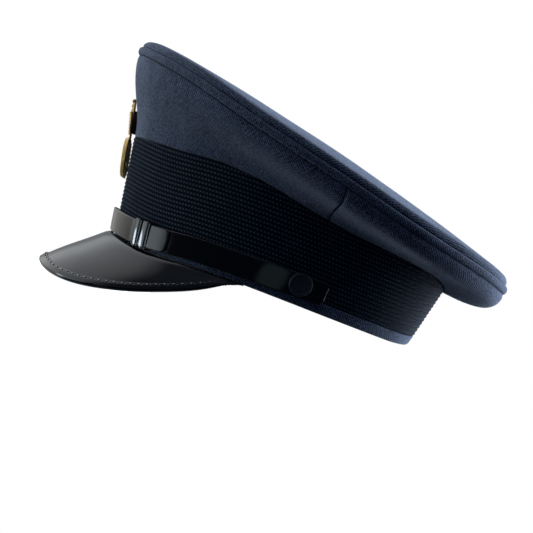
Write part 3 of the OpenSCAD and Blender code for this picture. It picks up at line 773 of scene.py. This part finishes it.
def mohair_band():
    n, dh = 1020, 0.54  # columns round the band, and the height of a row
    u = np.linspace(180.08, 539.92, n)
    low = mohair_low(u)
    tall = seam_z(u) - 0.1 - low
    along = run_length(band_pt(u, low + 20, 0.0))
    m = int(tall.max() / dh) + 2
    h = np.minimum(np.arange(m)[None] * dh, tall[:, None])
    edge = np.clip(np.minimum(h, tall[:, None] - h) / 0.9, 0, 1)
    relief = RIB_RISE * (braid_relief(along[:, None], h) * edge - 0.45)
    flat = pressed(u[:, None], low[:, None] + h)
    outer = band_pt(u[:, None], low[:, None] + h, relief * (1 - PRESS_FLAT * flat) - PRESS_IN * flat)
    back = band_pt(u[:, None], np.stack([low, low + tall], 1), -MOHAIR_T)
    top_row = np.minimum(np.ceil(tall / dh - 1e-6).astype(int), m - 1)
    verts = np.concatenate([outer.reshape(-1, 3), back.reshape(-1, 3)])
    k = n * m
    faces, uvs = [], []

    def add(loop):
        loop = list(dict.fromkeys(loop))
        if len(loop) > 2:
            faces.append(loop)
            for x in loop:
                i = x // m if x < k else (x - k) // 2
                j = x % m if x < k else 0
                uvs.append((along[i], h[i, j] if x < k else h[i, -1] * ((x - k) % 2)))

    for i in range(n - 1):
        t0, t1 = top_row[i], top_row[i + 1]
        for j in range(max(t0, t1)):
            a, b = i * m, (i + 1) * m
            add([a + min(j, t0), b + min(j, t1), b + min(j + 1, t1), a + min(j + 1, t0)])
        b0, b1 = k + 2 * i, k + 2 * i + 2
        add([b0, b0 + 1, b1 + 1, b1])
        add([i * m, b0, b1, (i + 1) * m])
        add([i * m + t0, (i + 1) * m + t1, b1 + 1, b0 + 1])
    for i in (0, n - 1):
        add([i * m + j for j in range(top_row[i] + 1)] + [k + 2 * i + 1, k + 2 * i])
    used, back_to = np.unique([x for f in faces for x in f], return_inverse=True)
    it = iter(back_to.ravel().tolist())
    faces = [[next(it) for _ in f] for f in faces]
    make("mohair_band", (verts[used], faces, uvs), MOHAIR)


mohair_band()


def band_cloth():
    outside, inside = -MOHAIR_T - 0.3, -MOHAIR_T - 1.5
    u = round_by(0.6)
    low, hi = low_z(u), seam_z(u) - 0.8
    roll = smooth_path([(inside, 1.4), (inside + 0.25, 0.45), (outside, -0.02), (-0.6, 0.3), (-0.02, 1.3),
        (0.08, 3.0), (0.02, 4.6), (0.3, 5.6), (0.25, 6.6), (-0.4, 7.1), (outside, 7.1)])
    off, z = roll[None, :, 0], low + roll[None, :, 1]
    wave = 0.06 * ripple(band_pt(u, z, off), 14.0)
    wave = wave - PRESS_CLOTH * pressed(u, z) * (off > -0.05) * (z > low + 2)
    off = np.concatenate([off + wave, outside + 0 * hi, inside + 0 * hi], 1)
    z = np.concatenate([z, hi, hi], 1)
    sweep("band_cloth", band_pt(u, z, off), WOOL)


band_cloth()


def bar(path, radius):
    """A round thread along a path, with rounded ends: its verts, faces and UVs."""
    sides, taper = 8, 0.35
    t = unit(np.gradient(path, axis=0))
    side = unit(np.cross(t, [0.13, 0.21, 0.97]))
    up = np.cross(t, side)
    a = np.linspace(0, 2 * math.pi, sides, endpoint=False)[None, :, None]
    s = np.linspace(-1, 1, len(path))
    r = radius * np.maximum(np.sqrt(np.maximum(1 - np.abs(s) ** 6, 0)), taper)[:, None, None]
    sections = path[:, None] + r * (np.cos(a) * side[:, None] + np.sin(a) * up[:, None])
    return tube(sections, False)


def stitches(name, place, length, pitch, share, radius, sink, mat):
    """A row of stitches: place(s, height) is a point at a distance along the seam."""
    rows = []
    for i in range(int(length / pitch)):
        s = (i + 0.5) * pitch + np.linspace(-0.5, 0.5, 7) * pitch * share
        arch = sink * (1 - np.linspace(-1, 1, 7) ** 2)
        rows.append(bar(place(s, arch), radius))
    merge(name, rows, mat, extra=True)


def sweatband():
    u = np.linspace(180.2, 539.8, 420)[:, None]
    z = [np.linspace(0.4, 3, 6), np.linspace(4, SWEAT_H - 1, 14), [SWEAT_H - 0.4, SWEAT_H]]
    z = np.concatenate(z)[None]
    low = low_z(u)
    z = low * (1 - z / SWEAT_H) + z
    slack = 0.22 * ripple(wall_pt(u, z, -SWEAT_IN, SWEAT_LEAN), 16.0) * z / SWEAT_H
    slack = slack - 0.25 * near(z - low - SWEAT_SEAM, 0.7)
    outer = wall_pt(u, z, -SWEAT_IN - np.maximum(slack, 0) * 0.5, SWEAT_LEAN)
    inner = wall_pt(u, z, -SWEAT_IN - SWEAT_T - slack * 0.5, SWEAT_LEAN)
    shell("sweatband", outer, inner, LEATHER, closed=False)


sweatband()


def sweat_stitch_at():
    u = np.linspace(183, 537, 2000)
    p = wall_pt(u, low_z(u) + SWEAT_SEAM, -SWEAT_IN - SWEAT_T, SWEAT_LEAN)
    s = run_length(p)

    def place(at, height):
        w = np.interp(at, s, u)
        return wall_pt(w, low_z(w) + SWEAT_SEAM, -SWEAT_IN - SWEAT_T + 0.05 - height, SWEAT_LEAN)
    return place, s[-1]


place, length = sweat_stitch_at()
stitches("sweatband_stitches", place, length, 3.1, 0.72, 0.22, 0.22, TAN_THREAD)


def ribbon_loop(points, width, thick):
    """A flat ribbon bent along a closed or open path in x and y, as wide as it is along z."""
    p = np.array(points, float)
    t = unit(np.gradient(p, axis=0))
    n = np.stack([-t[:, 1], t[:, 0]], 1) * thick / 2
    corner = [(1, -1), (1, 1), (-1, 1), (-1, -1)]
    ring = [np.concatenate([p + s * n, np.full((len(p), 1), e * width / 2)], 1) for s, e in corner]
    return tube(np.stack(ring, 1), False)


def sweatband_bow():
    y0 = BAND_L - SWEAT_IN - SWEAT_T - 1.0
    pieces = []
    a = np.linspace(0.12, 2 * math.pi - 0.12, 40)
    for side in (-1, 1):
        x = side * (3.9 - 3.6 * np.cos(a))
        pieces.append(ribbon_loop(np.stack([x, 0.62 * np.sin(a) * np.sqrt(np.abs(x) / 7.5)], 1), 3.4, 0.22))
        t = np.linspace(0, 1, 14)
        tail = ribbon_loop(np.stack([side * (0.8 + 6 * t), 0.35 - 0.5 * t * t], 1), 2.6, 0.22)
        tail[0][:, 2] -= 4.5 * (np.abs(tail[0][:, 0]) / 7) ** 1.5 + 0.5
        pieces.append(tail)
    k = np.linspace(0, 2 * math.pi, 24)
    pieces.append(ribbon_loop(np.stack([1.25 * np.cos(k), 0.85 * np.sin(k)], 1), 2.8, 0.3))
    merge("sweatband_bow", moved(pieces, lambda v: xyz(v[:, 0], y0 - v[:, 1], 9 + v[:, 2])), RIBBON)


sweatband_bow()


def through(rows, steps):
    """A smooth run of rows through a few rows of points (Catmull-Rom)."""
    p = np.concatenate([2 * rows[:, :1] - rows[:, 1:2], rows, 2 * rows[:, -1:] - rows[:, -2:-1]], 1)
    out = []
    for i in range(rows.shape[1] - 1):
        a, b, c, d = (p[:, i + j][:, None] for j in range(4))
        t = np.linspace(0, 1, steps, endpoint=i == rows.shape[1] - 2)[None, :, None]
        out.append(0.5 * (2 * b + (c - a) * t + (2 * a - 5 * b + 4 * c - d) * t**2
            + (3 * b - a - 3 * c + d) * t**3))
    return np.concatenate(out, 1)


def lining_side():
    u = np.arange(0, 360, 0.9)

    def rows(t):
        base = [band_pt(u, seam_z(u) - d, -4.8 - t) for d in (11, 4, -4)]
        side = [side_pt(u, v, 6.6 + t) for v in (0.24, 0.45, 0.7, 0.9)]
        return through(np.stack(base + side + [rim_pt(u, 7.9 + t, 0.4), rim_pt(u, 8.6 + t, 3.4)], 1), 7)

    outer = rows(0.0)
    pleat = np.maximum(ripple(outer * [1, 1, 0.25], 7.0, 3.0), 0) * 0.7
    pleat *= np.linspace(0, 1, outer.shape[1])[None] ** 0.5
    inward = unit(np.array([0, CROWN_BACK, 60.0]) - outer)
    outer = outer + inward * pleat[..., None]
    shell("lining_side", outer, outer + inward * 0.5, LINING, bulge=(0.1, 0.1))


lining_side()


def lining_tip():
    u = round_by(1.2)
    r = 1 - 0.97 * np.linspace(0, 1, 36)[None, 1:]

    def rows(off):
        sheet = np.concatenate([roll_pt(u, np.linspace(55, 90, 5)[None], off), top_pt(u, r, off)], 1)
        return soften(sheet, 3, 12, 8)

    sheet = rows(7.0)
    lift = np.maximum(ripple(sheet, 15.0, 1.0), 0)[..., None] * 0.5
    down = np.array([0, 0, -1.0])
    make("lining_tip", dome_sheet(sheet + lift * down, sheet + (lift + 0.5) * down), LINING)


lining_tip()


def sweat_shield():
    u = round_by(1.5)
    reach = 0.62 / (np.abs(sin(u)) ** 1.3 + np.abs(cos(u)) ** 1.3) ** (1 / 1.3)
    r = np.linspace(1, 0.04, 22)[None]
    bow = 0.25 * near(1 - r, 0.03)
    make("sweat_shield", dome_sheet(top_pt(u, r * reach, 8.3 + bow), top_pt(u, r * reach, 8.75 + bow)), VINYL)


sweat_shield()


# ---------------------------------------------------------------- the peak
SHEET_SHORT = 1.1  # how far inside the binding the peak's sheets stop


def peak_sheet(name, top, bottom, mat, short):
    u = np.linspace(-PEAK_ANGLE + short, PEAK_ANGLE - short, 260)[:, None]
    last = 2 - SHEET_SHORT / slope_len(u)
    q = np.concatenate([np.linspace(0.05, 0.68, 4), np.linspace(0.72, 1.12, 12)])[None] + 0 * u
    q = np.concatenate([q, 1.12 + (last - 1.12) * np.linspace(0.025, 1, 40)[None]], 1)
    q = np.minimum(q, last)
    shell(name, peak_pt(u, q, top), peak_pt(u, q, bottom), mat, closed=False, bulge=(0.1, 0.1))


peak_sheet("peak_top", 0.0, 0.8, PATENT, 2.2)
peak_sheet("peak_lining", 2.4, 3.1, PEAK_LINING, 5.2)

STITCH, SEAM_BACK, STITCH_FROM = 5.8, 1.35, 14.0  # pitch, distance in from the binding's edge, first stitch


def edge_track(short=2):
    u = np.linspace(-PEAK_ANGLE + short, PEAK_ANGLE - short, 900)
    return u, run_length(edge_pt(u))


def binding_leg(u):
    return np.minimum(BINDING_W, 0.7 * slope_len(u))


def peak_binding():
    u, s = edge_track(0.3)
    w = binding_leg(u)[:, None]
    slim = 1 - 0.75 * near(np.maximum(PEAK_ANGLE - np.abs(u), 0), 6.0)[:, None]
    c = np.minimum(1.4, w / 3)
    hole = near(np.mod(s + STITCH / 2, STITCH) - STITCH / 2, 0.55)[:, None]
    t = np.linspace(0, 1, 20)[None]
    back = w + (c - w) * t
    groove = near(back - (w - SEAM_BACK), 0.5) * (0.1 + 0.22 * hole) * np.clip(w / BINDING_W, 0, 1) ** 2
    lip = 0.35 * near(back - w, 0.35) + 0.12 * (2 * t - 1) ** 2
    upper = (back, BINDING_TOP + groove + lip)
    a = np.linspace(0, math.pi, 19)[None, 1:-1]
    nose = (c - (c + 0.3) * np.sin(a) ** 0.9, 1.575 - 2.34 * np.cos(a))
    lower = (back[:, ::-1], BINDING_LOW - groove[:, ::-1] - lip[:, ::-1])
    inner = [(w, 3.3), (c, 3.3), (0.75 + 0 * w, 2.9), (0.7 + 0 * w, 1.5), (0.75 + 0 * w, 0.1), (c, -0.15),
        (w, -0.15)]
    outer = (upper, nose, lower)
    across, depth = (np.concatenate([np.broadcast_to(p[i], (len(u), p[i].shape[1])) for p in outer]
        + [p[i] + 0 * w for p in inner], 1) for i in (0, 1))
    depth = -0.8 + (depth + 0.8) * slim
    across = across + 2.6 * (1 - slim)
    sweep("peak_binding", edge_in(u[:, None], across, depth), PATENT, closed=False)


peak_binding()


def binding_stitches(name, face, sign):
    u, s = edge_track()
    first, last = STITCH_FROM, s[-1] - STITCH_FROM

    def place(at, height):
        w = np.interp(at + first, s, u)
        return edge_in(w, binding_leg(w) - SEAM_BACK, face - sign * height)
    # light grey thread: painted glints along the stitches
    stitches(name, place, last - first, STITCH, 0.22, 0.36, 0.12, PAINTED_GLINT_THREAD)


binding_stitches("peak_stitches_top", BINDING_TOP, 1)
binding_stitches("peak_stitches_under", 3.68, -1)


# ---------------------------------------------------------------- the chin strap
EDGE_R, CUT_WIDE = 0.6, 0.16  # the straps' rounded edge, and the bare cut seen along it


def rounding(d):
    return EDGE_R - np.sqrt(np.maximum(EDGE_R**2 - np.maximum(EDGE_R - d, 0) ** 2, 0))


def over_lift(u):
    t = np.clip((-u - TIP_ANGLE - 5) / 14, 0, 1)
    return OVER_OFF - (STRAP_T + 0.25) * t * t * (3 - 2 * t)


def strap(name, side):
    """A strap from its rounded tip to its convex end; side 1 is the inner strap, -1 the outer."""
    fine = np.array([0.02, 0.1, 0.25, 0.45, 0.7, 1.0, 1.5, 2.1, 2.8, 3.6])
    whole = (TIP_ANGLE + STRAP_END) * DEG_LEN
    d = np.concatenate([fine, np.linspace(4.5, whole - 4.5, 330), whole - fine[::-1]])
    e = whole - d
    half = STRAP_H / 2
    tip = np.where(d > 3.5, half, half - 3.5 + np.sqrt(np.maximum(0, 12.25 - (3.5 - d) ** 2)))
    end = half * np.sqrt(np.maximum(0, 1 - np.maximum(0, 1 - (e + 0.3) / 4) ** 2.4))
    half = np.minimum(tip, end)[:, None]
    from_edge = np.array([0, 0.08, 0.2, 0.34, 0.5, 0.8, 1.3, 2.1, 3.3, 5.0, 7.5]) / 7.5
    c = np.concatenate([from_edge - 1, 1 - from_edge[-2::-1]])[None]
    u = side * (d / DEG_LEN - TIP_ANGLE)[:, None]
    rim = rounding(np.minimum(half * (1 - np.abs(c)), np.minimum(d, e)[:, None]))
    crown = 0.12 * (1 - c * c)
    lift = UNDER_OFF + 0 * u if side > 0 else over_lift(u)
    z = strap_z(u) + c * half
    outer, inner = band_pt(u, z, lift + STRAP_T - rim + crown - 0.06), band_pt(u, z, lift + rim)
    piece = shell(name, outer, inner, PATENT, "chin_strap", closed=False, bulge=(0.06, 0.06))
    inset = np.minimum(half * (1 - np.abs(c)), np.minimum(d, 2.2 * e)[:, None])
    arc = np.zeros((len(d), EDGE_POINTS))
    inset = np.concatenate([inset, arc, inset[:, ::-1], arc], 1).ravel()
    piece.data.materials.append(CUT_EDGE)
    for face in piece.data.polygons:
        face.material_index = int(inset[list(face.vertices)].mean() < CUT_WIDE)


strap("strap_inner", 1)
strap("strap_outer", -1)


def rounded_rect(x0, x1, y0, y1, r, short=4, long=34):
    """Points round a rectangle with round corners, the same number whatever its size."""
    def line(a, b, n):
        return [(mix(a[0], b[0], t), mix(a[1], b[1], t)) for t in np.linspace(0, 1, n + 1)[1:-1]]

    def arc(cx, cy, start):
        angles = [math.radians(start + 90 * t) for t in np.linspace(0, 1, 6)]
        return [(cx + r * math.cos(a), cy + r * math.sin(a)) for a in angles]

    right, upper = arc(x1 - r, y0 + r, -90), arc(x1 - r, y1 - r, 0)
    left, lower = arc(x0 + r, y1 - r, 90), arc(x0 + r, y0 + r, 180)
    return np.array(right + line(right[-1], upper[0], long) + upper + line(upper[-1], left[0], short)
        + left + line(left[-1], lower[0], long) + lower + line(lower[-1], right[0], short))


KEEPER_W, TOOTH, KEEPER_LEAN = 6.6, 2.0, 0.5  # a keeper's width, the pitch of its scallops, and its lean


def keeper(name, body, middle, side):
    """A stitched loop round both straps: a domed face with a scalloped step along its rear side."""
    high = OVER_OFF + STRAP_T + 0.25
    half = STRAP_H / 2 + 0.35
    inner = rounded_rect(0.95, high, -half, half, 0.4)
    outer = rounded_rect(0.38, high + 0.86, -half - 0.95, half + 0.95, 1.0)
    w = np.concatenate([np.linspace(-1, -0.92, 4), np.linspace(-0.88, 0.1, 12), np.linspace(0.14, 1, 22)])
    along = run_length(outer)[:, None]
    ends = np.clip((1 - np.abs(w)) / 0.16, 0, 1)
    ends = np.sqrt(ends * (2 - ends))
    swell = 1 - 0.2 * (w + 0.15) ** 2 - 0.3 * (1 - ends)
    scallop = np.abs(np.sin(np.pi * along / TOOTH))
    step = w[None] - 0.62 + 0.3 * scallop
    cut = np.clip(step / 0.1, 0, 1) * np.clip((0.94 - w[None]) / 0.05, 0, 1)
    s = np.maximum(swell[None] - 0.4 * cut, 0.12)
    u = middle + w[None] * KEEPER_W / 2 / DEG_LEN
    face_off = mix(inner[:, :1], outer[:, :1], s)
    face_z = mix(inner[:, 1:], outer[:, 1:], s)
    front = np.clip((face_off - high) / 0.3, 0, 1)
    tall = np.clip(face_z / half, -1, 1)
    face_off = face_off + front * KEEPER_LEAN * 0.5 * (tall - tall * tall)
    back = np.linspace(1, -1, 8)[None]
    ub = middle + back * KEEPER_W / 2 / DEG_LEN
    u = np.concatenate([u + 0 * along, ub + 0 * along], 1)
    off = np.concatenate([face_off, inner[:, :1] + 0 * back], 1)
    z = np.concatenate([face_z, inner[:, 1:] + 0 * back], 1)
    sections = band_pt(u, strap_z(u) + z, off) * [side, 1, 1]
    sweep(name, sections, PATENT, body)


FRONT_KEEPER, REAR_KEEPER = 37.3, 42.0
for side, word in ((1, "left"), (-1, "right")):
    keeper(f"keeper_{word}_front", f"keeper_{word[0]}f", FRONT_KEEPER, side)
    keeper(f"keeper_{word}_rear", f"keeper_{word[0]}r", REAR_KEEPER, side)

BUTTON_FACE = [(6.9, 0), (7.25, 0.12), (7.46, 0.5), (7.5, 1.0), (7.5, 1.7), (7.42, 2.1), (7.15, 2.42),
    (6.75, 2.58), (6.3, 2.6), (5.95, 2.5), (5.7, 2.32), (5.35, 2.2), (4.4, 2.15), (4.1, 2.22), (3.8, 2.28),
    (3.5, 2.22), (3.2, 2.1), (2.1, 2.02), (1.2, 1.96), (0.95, 2.02), (0.7, 2.1), (0.4, 2.12), (0, 2.12)]
for side, word in ((1, "left"), (-1, "right")):
    foot = RING_H - 1.4
    profile = [(0, foot), (1.5, foot), (SHANK_R, foot + 0.3), (SHANK_R, DISC_BACK)]
    profile += [(r * BUTTON_R / 7.5, z + DISC_BACK) for r, z in BUTTON_FACE]
    lathe("button_" + word, profile, BUTTON, "button_" + word[0], lambda p, s=side: at_button(p, s))


# ---------------------------------------------------------------- the badge
def leaf(length, half, rise, thick, veins):
    """A pointed leaf lying along +y from the origin, with a raised rib and slanted veins."""
    t = np.linspace(0.01, 0.99, 30)[:, None]
    c = np.linspace(-1, 1, 13)[None]
    wide = half * np.sin(np.pi * t**0.85) ** 0.75
    x, y = wide * c, length * t + 0 * c
    rib = 0.45 * near(c, 0.14)
    vein = 0.16 * np.cos(2 * np.pi * (veins * t - 1.1 * np.abs(c))) * (1 - c * c)
    z = thick + rise * ((1 - c * c) * 0.6 + rib + vein)
    top, base = xyz(x, y, z), xyz(x, y, 0 * z)
    return tube(np.concatenate([top, base[:, ::-1]], 1), False)


def ball(radius, at):
    n, m = 20, 12
    a = turn_in(n)
    b = np.linspace(-90, 90, m)[None]
    rings = xyz(radius * cos(b) * cos(a), radius * cos(b) * sin(a), radius * sin(b) + 0 * a) + at
    faces = [[i * m + j, (i + 1) % n * m + j, (i + 1) % n * m + j + 1, i * m + j + 1]
        for i in range(n) for j in range(m - 1)]
    verts = rings.reshape(-1, 3)
    return verts, faces, seen_flat(verts, faces)


def turned(points, degrees, move=(0, 0, 0)):
    c, s = math.cos(math.radians(degrees)), math.sin(math.radians(degrees))
    return points @ np.array([[c, s, 0], [-s, c, 0], [0, 0, 1.0]]) + np.array(move, float)


PLATE_BACK, PLATE_T, FAN_Y, LUG_X, LUG_Y, PIN_Z = 3.1, 1.2, BADGE_R + 1.3, 7.0, -7.0, -7.8


def rope(radius, thick, z, strands):
    a = turn_in(720)
    b = np.linspace(0, 360, 16, endpoint=False)[None]
    r = thick * (0.8 + 0.2 * np.abs(np.cos(np.radians(b + a * strands / 2))))
    sections = xyz((radius + r * cos(b)) * cos(a), (radius + r * cos(b)) * sin(a), z + r * sin(b))
    return tube(sections, True)


NOTCHES = 56


def milled_rim():
    """The plate's slanting rim, cut by radial notches."""
    a = turn_in(896)
    profile = smooth_path([(12.6, 3.2), (13.4, 2.2), (14.3, 2.2), (14.4, 2.6), (14.3, 3.1), (13.3, 4.9),
        (12.9, 5.3), (12.3, 5.3), (12.1, 4.9), (12.1, 4.0)], True)
    cut = 0.35 * near(np.cos(np.radians(a * NOTCHES / 2)), 0.45)
    cut = cut * np.clip((profile[None, :, 1] - 2.6) / 1.4, 0, 1)
    r, z = profile[None, :, 0] - 0.7 * cut, profile[None, :, 1] - 0.7 * cut
    sections = xyz(r * cos(a), r * sin(a), z + 0 * a)
    return tube(sections, True)


def badge_lower():
    face = PLATE_BACK + PLATE_T
    pieces = [disc([(0, PLATE_BACK), (13.2, PLATE_BACK), (13.4, PLATE_BACK + 0.2), (13.4, face), (7.4, face),
        (7.1, face + 0.35), (6.6, face + 0.45), (6.3, face + 0.3), (6.1, face + 0.5), (5.2, face + 1.0),
        (3.8, face + 1.3), (2, face + 1.5), (0, face + 1.55)]), milled_rim()]
    pieces.append(rope(6.9, 0.35, face + 0.25, 44))
    for i in range(1, 9):
        for s in (-1, 1):
            v, f, t = leaf(4.9, 1.35, 0.5, 0.35, 3)
            v = turned(v - [0, 2.3, 0], s * 32)
            way = s * (14 + 18.5 * i)
            v = turned(v, way) + turned(np.array([[0, 10.2, face - 0.1]]), way)
            pieces.append((v, f, t))
    for x in (-LUG_X, LUG_X):
        v, f, t = disc([(0, PIN_Z - 1.1), (0.7, PIN_Z - 1.1), (1, PIN_Z - 0.8), (1, PLATE_BACK + 0.2)], 24)
        pieces.append((v + [x, LUG_Y, 0], f, t))
    merge("badge_lower", moved(pieces, at_badge), GILT)


def badge_upper():
    pieces = []
    for i in (-1, 0, 1):
        long = LEAF_LEN if i == 0 else 0.76 * LEAF_LEN
        v, f, t = leaf(long, 4.2, 1.1, 0.9, 7)
        pieces.append((turned(v, -i * 38, (0, 0, 0.15 * abs(i))), f, t))
    for i in range(3):
        pieces.append(ball(1.5, [0, LEAF_LEN - 1.4 - 3.2 * i, 1.3]))
    pieces.append(disc([(0, 0), (3.2, 0), (3.4, 0.2), (3.4, 0.7), (3.1, 0.98), (2.2, 0.9), (1.7, 0.98),
        (0, 0.98)], 48))
    merge("badge_upper", moved(pieces, lambda v: at_badge(v + [0, FAN_Y, 2])), GILT)


badge_lower()
badge_upper()


def slab(name, outline, low, high, edge, mat):
    """A flat plate with eased edges, from an outline in the badge's plane."""
    p = np.array(outline, float)
    middle = p.mean(0)
    shrink = lambda by: middle + (p - middle) * (1 - by / np.linalg.norm(p - middle, axis=1, keepdims=True))
    levels = [(edge, low), (0, low + edge), (0, high - edge), (edge * 0.3, high - edge * 0.3), (edge, high)]
    rings = [np.column_stack([shrink(by), np.full(len(p), z)]) for by, z in levels]
    n = len(p)
    faces = [[r * n + i, r * n + (i + 1) % n, (r + 1) * n + (i + 1) % n, (r + 1) * n + i]
        for r in range(len(levels) - 1) for i in range(n)]
    faces += [list(range(n)), [4 * n + i for i in range(n)]]
    verts = np.concatenate(rings)
    make(name, (at_badge(verts), faces, seen_flat(verts, faces)), mat)


half_oval = [(6.5 * cos(a), FAN_Y + 1 + 15.5 * sin(a)) for a in np.linspace(0, 180, 48)]
slab("badge_backing", half_oval, -1.4, 1.8, 0.2, FELT)
bracket = rounded_rect(-4, 4, BADGE_R - 3.8, BADGE_R - 2.2, 0.3, 3, 3)
slab("badge_bracket", bracket, 1.7, 3.05, 0.15, BLACKENED)
slab("badge_strip", rounded_rect(-5, 5, -3.5, 10.4, 1.2, 3, 3), 1.2, 2.4, 0.2, GILT)


# ---------------------------------------------------------------- floor, camera and light
def floor_material():
    """Pale to the camera from above; clear from below and to every other ray, so it lights nothing."""
    shader = Shader("floor", (0.8, 0.8, 0.8), roughness=0.9)
    shader.color(shader.blend(shader.noise(3, 2.0), (0.78, 0.78, 0.78), (0.82, 0.82, 0.82)))
    glow = shader.node("Emission", {"Strength": 0.93})
    seen = shader.node("AddShader", {0: shader.bsdf.outputs[0], 1: glow.outputs[0]})
    camera_ray = shader.node("LightPath").outputs["Is Camera Ray"]
    clear = shader.node("BsdfTransparent")
    pick = shader.node("MixShader", {0: camera_ray, 1: clear.outputs[0], 2: seen.outputs[0]})
    under = shader.node("NewGeometry").outputs["Backfacing"]
    both = shader.node("MixShader", {0: under, 1: pick.outputs[0], 2: clear.outputs[0]})
    shader.tree.links.new(both.outputs[0], shader.tree.nodes["Material Output"].inputs[0])
    return shader.mat


FLOOR_Z, FLOOR_R = -0.0415, 0.27
floor_mesh = bpy.data.meshes.new("floor")
rim = [(FLOOR_R * cos(a), FLOOR_R * sin(a), FLOOR_Z) for a in np.linspace(0, 360, 128, endpoint=False)]
floor_mesh.from_pydata(rim, [], [list(range(len(rim)))])
floor_mesh.materials.append(floor_material())
floor = put("floor", floor_mesh)

CAMERA_AT, CAMERA_ROLL, FIELD = (1.0, -0.0021, 0.0149), 20.75, 0.3635
camera_data = bpy.data.cameras.new("camera")
camera_data.sensor_width = 36.0
camera_data.lens = 36.0 * CAMERA_AT[0] / FIELD
camera = put("camera", camera_data)
c, s = math.cos(math.radians(CAMERA_ROLL)), math.sin(math.radians(CAMERA_ROLL))
camera.matrix_world = Matrix(((0, 0, 1, CAMERA_AT[0]), (c, -s, 0, CAMERA_AT[1]), (s, c, 0, CAMERA_AT[2]),
    (0, 0, 0, 1)))
scene.camera = camera
scene.view_settings.view_transform = "Standard"


def world_light(sky, lobes):
    """Soft light from all round: a base colour plus smooth lobes, white where the camera sees it."""
    world = bpy.data.worlds.new("studio")
    scene.world = world
    world.use_nodes = True
    world.node_tree.nodes.clear()
    w = Nodes(world.node_tree)
    direction = w.node("TexCoord").outputs["Generated"]
    total = w.node("CombineXYZ", dict(enumerate(sky))).outputs[0]
    for axis, inner, outer, color in lobes:
        size = math.sqrt(sum(x * x for x in axis))
        dot = w.node("VectorMath", {0: direction, 1: [x / size for x in axis]}, operation="DOT_PRODUCT")
        ramp = w.node("MapRange", {"From Min": math.cos(math.radians(outer)),
            "From Max": math.cos(math.radians(inner)), "Value": dot.outputs["Value"]},
            interpolation_type="SMOOTHSTEP")
        scaled = w.node("VectorMath", {0: color, "Scale": ramp.outputs["Result"]}, operation="SCALE")
        total = w.node("VectorMath", {0: total, 1: scaled.outputs[0]}).outputs[0]
    lit = w.node("Background", {"Color": total})
    seen = w.node("Background", {"Color": (1, 1, 1, 1)})
    camera_ray = w.node("LightPath").outputs["Is Camera Ray"]
    pick = w.node("MixShader", {0: camera_ray, 1: lit.outputs[0], 2: seen.outputs[0]})
    w.node("OutputWorld", {0: pick.outputs[0]})


world_light((0.0085, 0.0145, 0.032), [
    ((0.04, -0.97, -0.2), 9, 23, (1.8, 2.05, 2.2)),       # seen by the strap's tip
    ((-0.6, -0.78, -0.12), 15, 42, (0.42, 0.4, 0.35)),    # seen by the strap's front
    ((-0.35, -0.8, 0.5), 16, 44, (1.0, 1.03, 1.06)),      # over the peak
    ((-0.14, -0.94, -0.3), 4, 6, (11.0, 13.2, 15.2)),     # a lamp seen by the keepers
    ((0.38, -0.66, -0.63), 3, 5, (0.8, 0.85, 0.9)),       # a lamp seen by the strap's lower edge
    ((-1, 0, 0.1), 30, 100, (0.2, 0.21, 0.21)),
    ((-0.62, 0.78, 0.16), 12, 34, (8.3, 9.6, 11.6)),      # a window behind
    ((-0.2, -0.3, 1), 20, 80, (0.15, 0.165, 0.19)),
    ((0.85, 0.1, 0.75), 20, 60, (0.07, 0.09, 0.125)),
    ((0.95, 0.05, -0.28), 5, 9, (0.17, 0.24, 0.25)),
])
